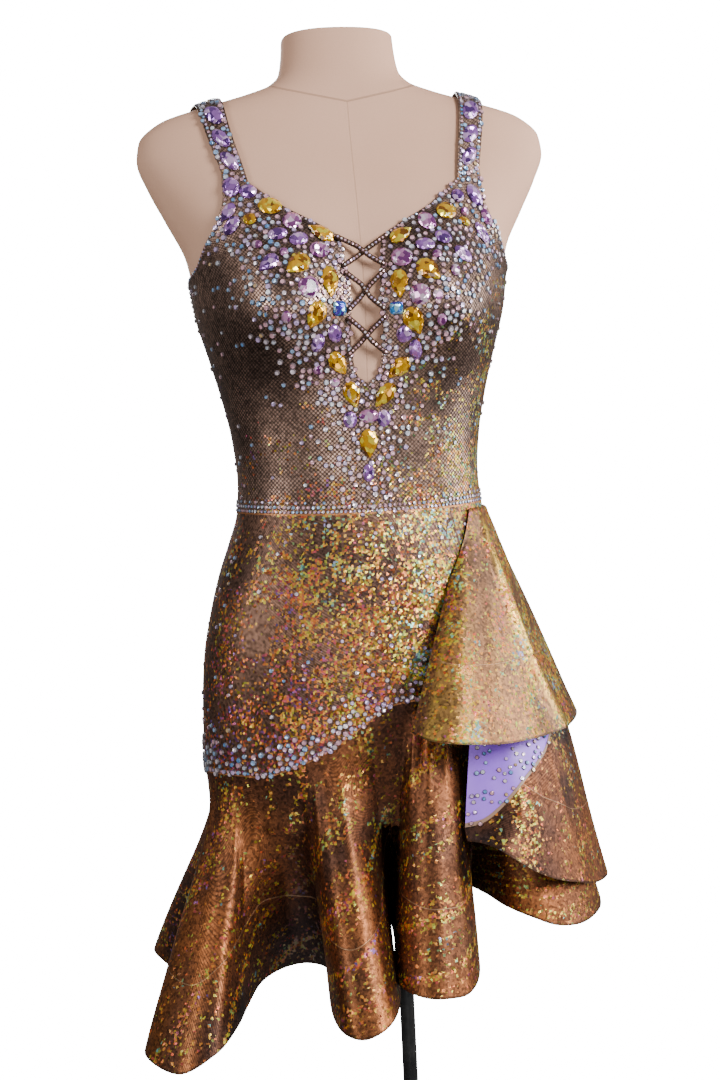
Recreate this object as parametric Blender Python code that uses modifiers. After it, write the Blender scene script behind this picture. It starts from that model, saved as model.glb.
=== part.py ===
"""A salsa dance dress worn on a limbless dress form with a pole and a round base.

The dress is a fitted bodice with a laced keyhole and two straps, a hip yoke with a slanted lower
edge, a full-circle flounce sewn to that edge and, on the wearer's left hip, a rounded petal with
its own flounce and a short cape of cloth over it. Every piece of cloth is an open sheet laid out
from sizes and then given its thickness. +Z is up, the front faces -Y and the origin is on the
floor under the pole. Tables are in millimetres from the middle of the waist seam: x to the
wearer's left, y to the back, and heights above the seam. A turn is in degrees from the centre
front round to the wearer's left side (90), the centre back (180) and the right side (-90).
"""

import math
from collections import namedtuple

import bpy
import numpy as np
from mathutils import Vector

MM = 0.001

# Driving sizes, millimetres.
WAIST_HEIGHT = 1000.0
FORM_SHIFT = -24.0
CLOTH = 1.5
FORM_GAP = 2.3
SEAM_GAP = 0.3
LAYER_GAP = 0.5
WAIST_DIP = 5.0
WAIST_STITCH = 4.0
LACE_RADIUS = 2.4
STONE_SEAT = 1.0
STRAP_COLUMNS = 2
STRAP_GAP = 2.8
STRAP_WIDTH = 25.0
STRAP_LENGTH = 240.0
RIGHT_STRAP_SPREAD = 9.0
POLE_RADIUS = 7.5
BASE_RADIUS = 160.0
BASE_THICKNESS = 6.0
BASE_EDGE = 2.5
COLLAR_RADIUS = 18.0
COLLAR_HEIGHT = 42.0
COLLAR_EDGE = 2.0
COLLAR_FOOT = 8.0
COLLAR_FLARE = 14.0
SOCKET_DEPTH = 30.0
BASE_SIDES = 36
POLE_SIDES = 24
SHARP_ANGLE = 40.0
MERGE = 0.00001
HALVES_MERGE = 0.00005
LACE_ROUNDNESS = 2


def table(columns, *rows):
    """Rows of numbers under named columns."""
    row_type = namedtuple("Row", columns)
    return [row_type(*row) for row in rows]


# The form's level sections, each a rounded oval with its own depth to the front and to the back.
FORM = table(
    "height half_width front back",
    (-280, 157, 90, 106),
    (-242, 163, 94, 112),
    (-190, 162, 97, 117),
    (-140, 158, 98, 116),
    (-100, 150, 96, 110),
    (-60, 139, 92, 99),
    (-30, 128, 88, 88),
    (0, 118.5, 84, 79),
    (33, 116, 85, 77),
    (73, 119.5, 89, 80),
    (113, 127.5, 93, 86),
    (153, 138, 96, 93),
    (193, 149, 97, 99),
    (225, 154, 95, 102),
    (250, 159, 91, 103),
    (288, 177, 82, 101),
    (318, 192, 72, 94),
    (345, 201.5, 63, 84),
    (362, 199, 58, 78),
    (380, 180, 54, 74),
    (394, 137, 50, 71),
    (404, 100, 47, 68),
    (414, 72, 45, 66),
    (426, 60, 44, 65),
    (445, 56, 43, 64),
    (462, 54.5, 42, 63),
)
SQUARENESS = 2.3
Bust = namedtuple("Bust", "side height rise width above below")
BUST = Bust(side=78, height=190, rise=36, width=40, above=52, below=34)
BUST_FADE = 1.6
PROBE = 1.5
FORM_RINGS = (
    -280, -276, -262, -235, -190, -140, -95, -45, 0, 33, 75, 110, 140, 160, 177, 194, 212,
    232, 255, 280, 305, 327, 346, 360, 372, 382, 390, 398, 407, 416, 428, 445, 462,
)
FORM_SIDES = 40
BOTTOM_ROUND = 14.0
BELOW_FORM = 22.0

# Half of the bodice front: each row runs from the centre line, the keyhole or the neckline out to
# the side seam or the armhole. The armhole's last rows are on the front of the form.
FRONT_ROWS = table(
    "inner_x inner_height outer_turn outer_height",
    (0, -5, 90, 0),
    (0, 0, 90, 4),
    (0, 28, 90, 30),
    (0, 60, 90, 62),
    (0, 90, 90, 94),
    (0, 116, 90, 122),
    (9.5, 125, 90, 136),
    (14, 143, 90, 152),
    (16, 166, 90, 170),
    (14.5, 192, 90, 188),
    (16.5, 220, 90, 204),
    (20.5, 250, 90, 223),
    (33, 260, 72, 234),
    (46, 268, 59, 254),
    (66, 280, 48, 272),
    (86, 297, 40.5, 292),
    (99, 309, 36.5, 319),
)
KEYHOLE_BOTTOM_ROW = 5
FRONT_COLUMNS = 13

# Half of the bodice back, from the centre back or the low neckline out to the side or armhole.
BACK_ROWS = table(
    "inner_x inner_height outer_turn outer_height",
    (0, 0, 90, 0),
    (0, 4, 90, 4),
    (0, 40, 90, 38),
    (0, 80, 90, 75),
    (0, 115, 90, 110),
    (0, 145, 90, 140),
    (0, 170, 90, 170),
    (0, 190, 90, 196),
    (36, 196, 90, 223),
    (66, 216, 103, 230),
    (84, 242, 116, 248),
    (94, 268, 129, 270),
    (99, 294, 138, 296),
)
BACK_PLAIN_ROWS = 8
BACK_COLUMNS = 10

# The straps, from the bodice front over the ridge of the shoulder to the bodice back: the x of
# both edges between those two ends.
STRAP_EDGES = table("along inner_x outer_x", (0.3, 110, 135), (0.55, 114, 139), (0.8, 109, 134))
STRAP_ROWS = 22

# The line inside the shoulders that the straps are measured from: its y and height, how far out
# the surface can be, and how closely it is found.
STRAP_PIVOT = (10.0, 320.0)
SHOULDER_REACH = 200.0
SHOULDER_PRECISION = 0.02

# The yoke's lower edge, where the main flounce is sewn on.
YOKE_EDGE = table(
    "turn height",
    (-180, -215),
    (-150, -240),
    (-120, -250),
    (-90, -250),
    (-56, -248),
    (-43, -249),
    (-28, -240),
    (-15, -224),
    (-5, -203),
    (3, -185),
    (14, -181),
    (30, -165),
    (50, -148),
    (70, -139),
    (90, -136),
    (120, -150),
    (150, -185),
    (180, -215),
)
YOKE_LEVELS = (0.0, 0.03, 0.22, 0.45, 0.7, 0.97, 1.0)

# The main flounce: where each crest, valley or fold side starts on the yoke's edge, and where its
# hem is. `hug` is how far the cloth follows the form down before the fold opens.
MAIN_FOLDS = table(
    "turn x y height hug",
    (-90, -185, -10, -482, 60),
    (-85, -194, -50, -482, 60),
    (-79, -238, -100, -489, 50),
    (-71, -210, -148, -496, 50),
    (-63, -176, -150, -481, 50),
    (-57, -154, -120, -469, 55),
    (-52, -142, -90, -461, 60),
    (-45.5, -126, -60, -449, 60),
    (-39, -102, -36, -445, 60),
    (-32.5, -76, -28, -445, 60),
    (-27.5, -58, -50, -447, 60),
    (-24.5, -64, -102, -454, 60),
    (-22, -66, -150, -459, 50),
    (-19.5, -60, -184, -462, 40),
    (-17, -44, -198, -463, 40),
    (-14, -22, -190, -455, 40),
    (-10, -6, -150, -444, 55),
    (-4.5, -2, -96, -416, 70),
    (1, 2, -44, -386, 80),
    (4.5, 2, -84, -408, 70),
    (6.5, -5, -128, -430, 45),
    (9, -4, -160, -433, 30),
    (11.5, 12, -184, -436, 20),
    (14.5, 32, -189, -437, 20),
    (17.5, 54, -176, -438, 20),
    (20, 71, -142, -430, 35),
    (23, 76, -96, -404, 80),
    (27, 82, -56, -378, 110),
    (34, 94, -72, -378, 110),
    (43, 108, -102, -384, 90),
    (53, 129, -120, -392, 70),
    (63, 152, -122, -401, 60),
    (73, 180, -106, -406, 55),
    (82, 206, -72, -406, 50),
    (90, 220, -34, -405, 50),
    (97, 224, 8, -404, 50),
    (105, 206, 56, -410, 60),
    (111, 156, 66, -400, 90),
    (118, 132, 100, -404, 90),
    (125, 176, 158, -432, 60),
    (132, 142, 206, -446, 50),
    (140, 98, 196, -442, 60),
    (147, 74, 118, -420, 90),
    (154, 50, 112, -422, 90),
    (161, 62, 212, -454, 60),
    (168, 30, 240, -462, 50),
    (175, -8, 218, -460, 60),
    (182, -12, 124, -432, 80),
    (189, -36, 116, -436, 80),
    (196, -48, 204, -464, 55),
    (203, -84, 230, -472, 50),
    (210, -120, 196, -468, 55),
    (218, -106, 120, -446, 70),
    (226, -124, 98, -450, 70),
    (233, -170, 144, -460, 55),
    (240, -212, 148, -462, 50),
    (247, -227, 110, -460, 50),
    (254, -212, 70, -466, 55),
    (262, -186, 32, -478, 60),
)
MAIN_LEVELS = (0.0, 0.025, 0.14, 0.28, 0.44, 0.61, 0.79, 1.0)
HEM_PULL = 0.38
DOWN_STEP = 8.0
COLUMNS_PER_FOLD = 2

# The petal hangs from the yoke over the main flounce's start: its top row and its rounded edge.
PETAL_ROWS = table(
    "turn height x y edge_height",
    (40, -66, 67, -126, -300),
    (46, -67, 83, -131, -296),
    (52, -68, 98, -132, -286),
    (58, -70, 114, -130, -272),
    (64, -77, 128, -124, -259),
    (71, -86, 141, -114, -249),
    (79, -94, 153, -101, -239),
    (86, -101, 162, -88, -226),
    (92, -107, 175, -62, -212),
    (98, -113, 183, -32, -198),
    (104, -119, 182, -2, -184),
    (110, -125, 172, 26, -170),
)
PETAL_LEVELS = (0.0, 0.04, 0.25, 0.5, 0.75, 1.0)
PETAL_HUG = 20.0

# The flounce on the petal's edge, in the same order; it runs out to nothing at the front.
PETAL_FLOUNCE_HEMS = table(
    "x y height",
    (68, -130, -312),
    (80, -138, -313),
    (94, -149, -318),
    (110, -153, -329),
    (129, -149, -342),
    (151, -139, -353),
    (178, -119, -363),
    (199, -93, -372),
    (221, -58, -375),
    (230, -12, -374),
    (222, 34, -366),
    (202, 76, -352),
)
PETAL_FLOUNCE_LEVELS = (0.0, 0.06, 0.35, 0.66, 1.0)
PETAL_FLOUNCE_HUG = 0.3

# The short cape over them, sewn on just under the waist seam.
CAPE_FOLDS = table(
    "turn x y height",
    (49, 17, -150, -204),
    (51, 30, -172, -209),
    (54, 52, -180, -212),
    (58, 76, -174, -215),
    (62, 102, -162, -218),
    (67, 130, -142, -219),
    (73, 153, -118, -220),
    (80, 177, -88, -220),
    (87, 197, -52, -218),
    (94, 209, -14, -215),
    (102, 210, 26, -210),
    (110, 197, 62, -205),
    (118, 172, 92, -200),
)
CAPE_LEVELS = (0.0, 0.05, 0.3, 0.55, 0.78, 1.0)
CAPE_HUG = 30.0
CAPE_DROP = 5.0
CAPE_CLEAR = 2.0

# The lacing's three crossings: heights of the upper and the lower ends.
LACE_CROSSINGS = table("top bottom", (250, 224), (217, 185), (177, 146))
LACE_INSET = 3.2
LACE_POINTS = 5
UNDER_LIFT, OVER_LIFT = -1.2, 4.0

# Large stones on the bodice front: place, size, turn in their own plane and cut.
STONES = table(
    "x height wide tall spin cut",
    (-114.5, 305, 16, 19.5, 10, "oval"),
    (-99.5, 299, 16.5, 14, -10, "oval"),
    (-118.5, 281, 12, 19.5, -35, "drop"),
    (-115.5, 268, 12, 19.5, -35, "oval"),
    (-99.5, 272, 12, 12, 0, "oval"),
    (-81, 283, 22, 16.5, -15, "oval"),
    (-63, 267, 17.5, 16.5, 0, "oval"),
    (-76.5, 254.5, 17.5, 12, 8, "oval"),
    (-59, 248.5, 17.5, 13, 15, "oval"),
    (-38, 255, 14.5, 26.5, -120, "drop"),
    (-41.5, 238, 18.5, 15.5, 0, "oval"),
    (-62.5, 224.5, 19, 24.5, -53, "drop"),
    (-86.5, 227, 14.5, 20, -50, "drop"),
    (-34.5, 209, 17.5, 28.5, 0, "drop"),
    (-54.5, 203.5, 19, 20, 0, "oval"),
    (-49.5, 180, 18, 25.5, -30, "drop"),
    (-27, 185.5, 13, 13, 0, "square"),
    (-31.5, 164, 13, 16.5, 20, "oval"),
    (-47, 156.5, 12, 16.5, -15, "oval"),
    (-27.5, 137, 16.5, 25, 32, "drop"),
    (-15, 107.5, 16.5, 26, 15, "drop"),
    (-17.5, 84.5, 13, 16, 0, "oval"),
    (0, 87, 19.5, 13, 0, "oval"),
    (-1, 61.5, 18, 28, 0, "drop"),
    (-2, 34, 11.5, 17, 0, "oval"),
    (113.5, 291.5, 13.5, 23, 25, "oval"),
    (96, 290, 13, 13, 0, "oval"),
    (82.5, 274, 19.5, 17, 5, "oval"),
    (99, 264, 11.5, 7.5, -35, "oval"),
    (123.5, 271, 10.5, 18, 25, "oval"),
    (116.5, 254.5, 10.5, 23, 30, "oval"),
    (62.5, 263.5, 15, 19.5, 35, "oval"),
    (75.5, 247, 16.5, 13, -25, "oval"),
    (58, 240, 17.5, 12, -5, "oval"),
    (37.5, 251, 15, 23, 120, "drop"),
    (36.5, 229.5, 19.5, 17.5, 0, "oval"),
    (58.5, 215.5, 19, 24.5, 45, "drop"),
    (92, 231, 12, 19.5, 50, "oval"),
    (32.5, 205.5, 16.5, 26.5, 0, "drop"),
    (49.5, 194.5, 18.5, 18.5, 0, "oval"),
    (29, 184, 12, 11, 0, "square"),
    (44, 172.5, 18.5, 25, 25, "drop"),
    (35, 161.5, 14, 15.5, -15, "oval"),
    (45, 147.5, 12, 18.5, 5, "oval"),
    (29.5, 131, 16.5, 26, -48, "drop"),
    (15.5, 106, 16, 28, -40, "drop"),
    (14, 84.5, 13, 16, 0, "oval"),
)
STRAP_STONE = STONES[0]._replace(wide=17, tall=17, spin=0)
STRAP_STONES = (0.065, 0.155, 0.245)
STONE_CORNERS = 8
STONE_RISE = 3.4
STONE_TABLE = 0.55
DROP_TAPER = 0.67
SQUARE_CORNERS = 0.5

BRONZE = ((0.36, 0.22, 0.12, 1.0), 0.32, 0.85)
COPPER = ((0.48, 0.25, 0.10, 1.0), 0.28, 0.9)
VIOLET = ((0.42, 0.28, 0.72, 1.0), 0.55, 0.0)
LINEN = ((0.78, 0.66, 0.56, 1.0), 0.85, 0.0)
BLACK = ((0.02, 0.02, 0.02, 1.0), 0.35, 0.6)


class Curve:
    """A smooth curve through a table's points that never overshoots between them."""

    def __init__(self, places, values):
        self.x = [float(place) for place in places]
        self.y = [float(value) for value in values]
        steps = [b - a for a, b in zip(self.x, self.x[1:])]
        rises = [(b - a) / step for a, b, step in zip(self.y, self.y[1:], steps)]
        slopes = [rises[0]]
        for i in range(1, len(rises)):
            if rises[i - 1] * rises[i] <= 0:
                slopes.append(0.0)
                continue
            before = 2 * steps[i] + steps[i - 1]
            after = steps[i] + 2 * steps[i - 1]
            slopes.append((before + after) / (before / rises[i - 1] + after / rises[i]))
        self.slopes = slopes + [rises[-1]]

    def __call__(self, x):
        x = min(max(x, self.x[0]), self.x[-1])
        i = min(int(np.searchsorted(self.x, x, "right")) - 1, len(self.x) - 2)
        step = self.x[i + 1] - self.x[i]
        t = (x - self.x[i]) / step
        rest = 1 - t
        return (
            self.y[i] * (1 + 2 * t) * rest * rest
            + self.slopes[i] * step * t * rest * rest
            + self.y[i + 1] * t * t * (3 - 2 * t)
            - self.slopes[i + 1] * step * t * t * rest
        )


def column_curve(rows, key, column):
    return Curve([getattr(row, key) for row in rows], [getattr(row, column) for row in rows])


HALF_WIDTH = column_curve(FORM, "height", "half_width")
FRONT_DEPTH = column_curve(FORM, "height", "front")
BACK_DEPTH = column_curve(FORM, "height", "back")
YOKE_EDGE_HEIGHT = column_curve(YOKE_EDGE, "turn", "height")


def power(value, exponent):
    return math.copysign(abs(value) ** exponent, value)


def surface(height, turn):
    """The form's surface at a height and a turn."""
    angle = math.radians(turn)
    ahead = math.cos(angle)
    x = HALF_WIDTH(height) * power(math.sin(angle), 2 / SQUARENESS)
    depth = FRONT_DEPTH(height) if ahead > 0 else BACK_DEPTH(height)
    y = -depth * power(ahead, 2 / SQUARENESS)
    reach = BUST.above if height > BUST.height else BUST.below
    across = (abs(x) - BUST.side) / BUST.width
    up = (height - BUST.height) / reach
    fade = min(max(ahead * BUST_FADE, 0.0), 1.0)
    y -= BUST.rise * math.exp(-(across * across + up * up) / 2) * fade
    return Vector((x, y, height))


def on_form(height, turn, out=0.0):
    """A point `out` from the form's surface, along the surface's normal."""
    point = surface(height, turn)
    if not out:
        return point
    around = surface(height, turn + PROBE) - surface(height, turn - PROBE)
    upward = surface(height + PROBE, turn) - surface(height - PROBE, turn)
    return point + around.cross(upward).normalized() * out


def turn_of(x, height):
    """The turn of the front surface's point at x."""
    share = min(abs(x) / HALF_WIDTH(height), 1.0)
    return math.degrees(math.copysign(math.asin(share ** (SQUARENESS / 2)), x))


def inside_form(x, y, height):
    if not FORM[0].height <= height <= FORM[-1].height:
        return False
    share = abs(x) / HALF_WIDTH(height)
    if share >= 1:
        return False
    turn = turn_of(x, height)
    limit = surface(height, turn).y if y < 0 else surface(height, 180 - turn).y
    return y > limit if y < 0 else y < limit


def over_shoulder(x, angle, out=0.0):
    """The form's surface seen from a line through the shoulders: angle 0 is up, 90 is forward."""
    tilt = math.radians(angle)
    direction = Vector((0, -math.sin(tilt), math.cos(tilt)))
    pivot = Vector((x, *STRAP_PIVOT))
    near, far = 0.0, SHOULDER_REACH
    while far - near > SHOULDER_PRECISION:
        middle = (near + far) / 2
        if inside_form(*(pivot + direction * middle)):
            near = middle
        else:
            far = middle
    return pivot + direction * (near + out)


def shoulder_angle(point):
    return math.degrees(math.atan2(-(point.y - STRAP_PIVOT[0]), point.z - STRAP_PIVOT[1]))


def waist_height(turn):
    """The waist seam dips a little at the centre front."""
    return -WAIST_DIP * max(math.cos(math.radians(turn)), 0.0) ** 2


def blend(a, b, share):
    return a + (b - a) * share


def pull_in(grid, edges, gap=SEAM_GAP):
    """Draws the named edges of a grid of points in by half a seam's gap."""
    rows = [list(row) for row in grid]
    pairs = []
    if "first row" in edges:
        pairs += [((0, c), (1, c)) for c in range(len(rows[0]))]
    if "last row" in edges:
        pairs += [((-1, c), (-2, c)) for c in range(len(rows[0]))]
    if "first column" in edges:
        pairs += [((r, 0), (r, 1)) for r in range(len(rows))]
    if "last column" in edges:
        pairs += [((r, -1), (r, -2)) for r in range(len(rows))]
    for (r, c), (near_r, near_c) in pairs:
        step = rows[near_r][near_c] - rows[r][c]
        if step.length > SEAM_GAP:
            rows[r][c] = rows[r][c] + step.normalized() * (gap / 2)
    return rows


def material(name, finish):
    colour, roughness, metallic = finish
    made = bpy.data.materials.new(name)
    made.use_nodes = True
    shader = made.node_tree.nodes["Principled BSDF"]
    shader.inputs["Base Color"].default_value = colour
    shader.inputs["Roughness"].default_value = roughness
    shader.inputs["Metallic"].default_value = metallic
    made.diffuse_color = colour
    return made


def mesh_object(name, points, faces, finish, collection):
    """A mesh whose points are in millimetres from the middle of the waist seam."""
    mesh = bpy.data.meshes.new(name)
    origin = Vector((FORM_SHIFT, 0, WAIST_HEIGHT))
    mesh.from_pydata([tuple((Vector(p) + origin) * MM) for p in points], [], faces)
    mesh.validate()
    mesh.materials.append(material(name, finish))
    mesh.shade_smooth()
    obj = bpy.data.objects.new(name, mesh)
    collection.objects.link(obj)
    return obj


def grid_faces(rows, columns, closed=False):
    """The squares between rows of points; closed joins each row's end to its start."""
    faces = []
    for r in range(rows - 1):
        below, above = r * columns, (r + 1) * columns
        for c in range(columns if closed else columns - 1):
            beside = (c + 1) % columns
            faces.append((below + c, below + beside, above + beside, above + c))
    return faces


def cloth(name, grid, finish, collection, outward=1, half=False):
    """A sheet of cloth on a grid of rows of points, thickened away from the form.

    The rows run against the clock seen from above, or the other way round with outward=-1. With
    half, the grid is one side of the piece and the other side is its mirror image.
    """
    points = [point for row in grid for point in row]
    faces = grid_faces(len(grid), len(grid[0]))
    if outward < 0:
        faces = [face[::-1] for face in faces]
    obj = mesh_object(name, points, faces, finish, collection)
    if half:
        mirror(obj)
    wall = obj.modifiers.new("Cloth", "SOLIDIFY")
    wall.thickness = CLOTH * MM
    wall.offset = 1.0
    wall.use_even_offset = False
    return obj


def mirror(obj):
    """Adds the other half of a piece, across the dress's centre line."""
    half = obj.modifiers.new("Other half", "MIRROR")
    half.use_axis = (True, False, False)
    half.merge_threshold = HALVES_MERGE
    centre = bpy.data.objects.new(obj.name + "_centre", None)
    centre.location = (FORM_SHIFT * MM, 0, 0)
    obj.users_collection[0].objects.link(centre)
    half.mirror_object = centre


def make_form(collection):
    """The torso and neck, a loft of level rings with a rounded lower edge and a flat top."""
    points, faces = [], []
    for height in FORM_RINGS:
        lift = height - FORM_RINGS[0]
        inset = 0.0
        if lift < BOTTOM_ROUND:
            inset = BOTTOM_ROUND - math.sqrt(BOTTOM_ROUND**2 - (BOTTOM_ROUND - lift) ** 2)
        for side in range(FORM_SIDES):
            point = surface(height, 360 * side / FORM_SIDES)
            flat = Vector((point.x, point.y, 0))
            points.append(point - flat.normalized() * inset)
    faces += grid_faces(len(FORM_RINGS), FORM_SIDES, closed=True)
    faces.append(tuple(reversed(range(FORM_SIDES))))
    top = (len(FORM_RINGS) - 1) * FORM_SIDES
    faces.append(tuple(range(top, top + FORM_SIDES)))
    return mesh_object("form_torso", points, faces, LINEN, collection)


def front_point(row, share):
    """A point of the bodice front, at a share of the way from a row's inner end to its outer end."""
    turn = blend(turn_of(row.inner_x, row.inner_height), row.outer_turn, share)
    height = blend(row.inner_height, row.outer_height, share)
    if row.outer_height <= WAIST_STITCH:
        height = waist_height(turn) + row.outer_height
    return on_form(height, turn, FORM_GAP)


def back_point(row, share):
    """The same for the bodice back."""
    turn = blend(180 - turn_of(row.inner_x, row.inner_height), row.outer_turn, share)
    return on_form(blend(row.inner_height, row.outer_height, share), turn, FORM_GAP)


def shares(count):
    return [i / (count - 1) for i in range(count)]


def front_grid():
    """The bodice front's half, from the centre to the side."""
    grid = [[front_point(row, share) for share in shares(FRONT_COLUMNS)] for row in FRONT_ROWS]
    for line in grid[: KEYHOLE_BOTTOM_ROW + 1]:
        line[0].x = 0.0
    return grid


def back_grid():
    """The bodice back's half, from the side to the centre back."""
    grid = [[back_point(row, 1 - share) for share in shares(BACK_COLUMNS)] for row in BACK_ROWS]
    for line in grid[:BACK_PLAIN_ROWS]:
        line[-1].x = 0.0
    return grid


def stone_outline(stone):
    """Corners of a stone in its own plane, millimetres."""
    spin = math.radians(stone.spin)
    corners = []
    for i in range(STONE_CORNERS):
        angle = 2 * math.pi * (i + 0.5) / STONE_CORNERS
        across, up = math.cos(angle) / 2 * stone.wide, math.sin(angle) / 2 * stone.tall
        if stone.cut == "drop":
            across *= 1 - DROP_TAPER * max(-math.sin(angle), 0.0)
        if stone.cut == "square":
            across = power(math.cos(angle), SQUARE_CORNERS) / 2 * stone.wide
            up = power(math.sin(angle), SQUARE_CORNERS) / 2 * stone.tall
        turned_across = across * math.cos(spin) - up * math.sin(spin)
        turned_up = across * math.sin(spin) + up * math.cos(spin)
        corners.append((turned_across, turned_up))
    return corners


def across_centre(points):
    return [Vector((-point.x, point.y, point.z)) for point in points]


def mirrored(shapes):
    """The same shapes on the other side of the centre line."""
    for points, faces in shapes:
        yield across_centre(points), [face[::-1] for face in faces]


def stone_shape(place, corners):
    """Points and faces of a faceted stone; place(across, up, out) lays it on a surface."""
    seat = [place(u, v, -STONE_SEAT) for u, v in corners]
    table_edge = [place(u * STONE_TABLE, v * STONE_TABLE, STONE_RISE) for u, v in corners]
    points = [*seat, *table_edge, place(0, 0, -STONE_SEAT)]
    count = len(corners)
    faces = [(i, (i + 1) % count, count + (i + 1) % count, count + i) for i in range(count)]
    faces.append(tuple(range(count, 2 * count)))
    faces += [((i + 1) % count, i, 2 * count) for i in range(count)]
    return points, faces


def stones_on_front(stones):
    """Each stone's corners are laid on the cloth of the bodice front."""
    for stone in stones:

        def place(across, up, out, stone=stone):
            height = stone.height + up
            return on_form(height, turn_of(stone.x + across, height), FORM_GAP + CLOTH + out)

        yield stone_shape(place, stone_outline(stone))


def join_stones(name, shapes, target, cutters):
    """Unites separate stones with the cloth that they are set on."""
    points, faces = [], []
    for more_points, more_faces in shapes:
        faces += [tuple(i + len(points) for i in face) for face in more_faces]
        points += more_points
    stones = mesh_object(name, points, faces, BRONZE, cutters)
    stones.hide_render = True
    stones.display_type = "WIRE"
    union = target.modifiers.new("Stones", "BOOLEAN")
    union.operation = "UNION"
    union.object = stones


def make_bodice(collection, cutters):
    grid = pull_in(front_grid(), ("first row", "last row", "last column"))
    front = cloth("bodice_front", grid, BRONZE, collection, half=True)
    join_stones("stones_front", stones_on_front(STONES), front, cutters)
    grid = pull_in(back_grid(), ("first row", "last row", "first column"))
    cloth("bodice_back", grid, BRONZE, collection, half=True)


def strap_point(along, share, spread, out=STRAP_GAP):
    """A point of the strap on the wearer's left; along 0 is its front end and 1 its back end.

    `spread` is how much further out the middle of the strap lies.
    """
    starts = [front_point(FRONT_ROWS[-1], end) for end in (0, 1)]
    ends = [back_point(BACK_ROWS[-1], end) for end in (0, 1)]
    alongs = [0.0, *(row.along for row in STRAP_EDGES), 1.0]
    inner = Curve(alongs, [starts[0].x, *(row.inner_x for row in STRAP_EDGES), ends[0].x])
    outer = Curve(alongs, [starts[1].x, *(row.outer_x for row in STRAP_EDGES), ends[1].x])
    start = front_point(FRONT_ROWS[-1], min(max(share, 0), 1))
    end = back_point(BACK_ROWS[-1], min(max(share, 0), 1))
    angle = blend(shoulder_angle(start), shoulder_angle(end), along)
    x = blend(inner(along), outer(along), share) + spread * math.sin(math.pi * along)
    return over_shoulder(x, angle, out)


def strap_grid(spread):
    """The strap's rows, from the top row of the bodice front to that of the back."""
    across = shares(STRAP_COLUMNS + 1)
    first = [front_point(FRONT_ROWS[-1], share) for share in across]
    last = [back_point(BACK_ROWS[-1], share) for share in across]
    between = []
    for along in shares(STRAP_ROWS)[1:-1]:
        between.append([strap_point(along, share, spread) for share in across])
    return [first, *between, last]


def stones_on_strap(spread):
    """The stones of the strap on the wearer's left."""
    for along in STRAP_STONES:

        def place(across, up, out, along=along):
            share = 0.5 + across / STRAP_WIDTH
            along = along + up / STRAP_LENGTH
            return strap_point(along, share, spread, STRAP_GAP + CLOTH + out)

        yield stone_shape(place, stone_outline(STRAP_STONE))


def make_straps(collection, cutters):
    grid = pull_in(strap_grid(0.0), ("first row", "last row"))
    strap = cloth("strap_left", grid, BRONZE, collection)
    join_stones("stones_left", stones_on_strap(0.0), strap, cutters)
    grid = pull_in(strap_grid(RIGHT_STRAP_SPREAD), ("first row", "last row"))
    grid = [across_centre(row) for row in grid]
    strap = cloth("strap_right", grid, BRONZE, collection, outward=-1)
    stones = mirrored(stones_on_strap(RIGHT_STRAP_SPREAD))
    join_stones("stones_right", stones, strap, cutters)


def keyhole_edge(height):
    """Half of the keyhole's width."""
    return column_curve(FRONT_ROWS[KEYHOLE_BOTTOM_ROW:], "inner_height", "inner_x")(height)


def make_lacing(collection):
    """Three crossings of two cords each; one cord of each pair passes over the other."""
    seated = FORM_GAP + CLOTH + LAYER_GAP + LACE_RADIUS
    for number, crossing in enumerate(LACE_CROSSINGS, 1):
        for name, side, lift in (("under", 1, UNDER_LIFT), ("over", -1, OVER_LIFT)):
            start = side * (keyhole_edge(crossing.top) + LACE_INSET)
            end = -side * (keyhole_edge(crossing.bottom) + LACE_INSET)
            route = []
            for share in shares(LACE_POINTS):
                x = blend(start, end, share)
                height = blend(crossing.top, crossing.bottom, share)
                rise = math.sin(math.pi * share) ** 2 * lift
                route.append(on_form(height, turn_of(x, height), seated + rise))
            make_cord(f"lacing_{number}_{name}", route, collection)


def make_cord(name, route, collection):
    curve = bpy.data.curves.new(name, "CURVE")
    curve.dimensions = "3D"
    curve.bevel_depth = LACE_RADIUS * MM
    curve.bevel_resolution = LACE_ROUNDNESS
    curve.use_fill_caps = True
    spline = curve.splines.new("POLY")
    spline.points.add(len(route) - 1)
    origin = Vector((FORM_SHIFT, 0, WAIST_HEIGHT))
    for point, place in zip(spline.points, route):
        point.co = (*((place + origin) * MM), 1.0)
    curve.materials.append(material(name, BRONZE))
    obj = bpy.data.objects.new(name, curve)
    collection.objects.link(obj)


def yoke_edge_point(turn):
    """The seam between the yoke and the main flounce."""
    return on_form(YOKE_EDGE_HEIGHT((turn + 180) % 360 - 180), turn, FORM_GAP)


def make_yoke(collection):
    """Both pieces have a column at each of the main flounce's folds, so that the seam fits."""
    turns = [row.turn for row in MAIN_FOLDS] + [270]
    side = turns.index(90)
    for name, part in (("yoke_front", turns[: side + 1]), ("yoke_back", turns[side:])):
        grid = []
        for share in YOKE_LEVELS:
            line = []
            for turn in part:
                height = blend(yoke_edge_point(turn).z, waist_height(turn), share)
                line.append(on_form(height, turn, FORM_GAP) if share else yoke_edge_point(turn))
            grid.append(line)
        grid = pull_in(grid, ("first row", "last row", "first column", "last column"))
        cloth(name, grid, BRONZE, collection)


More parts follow.
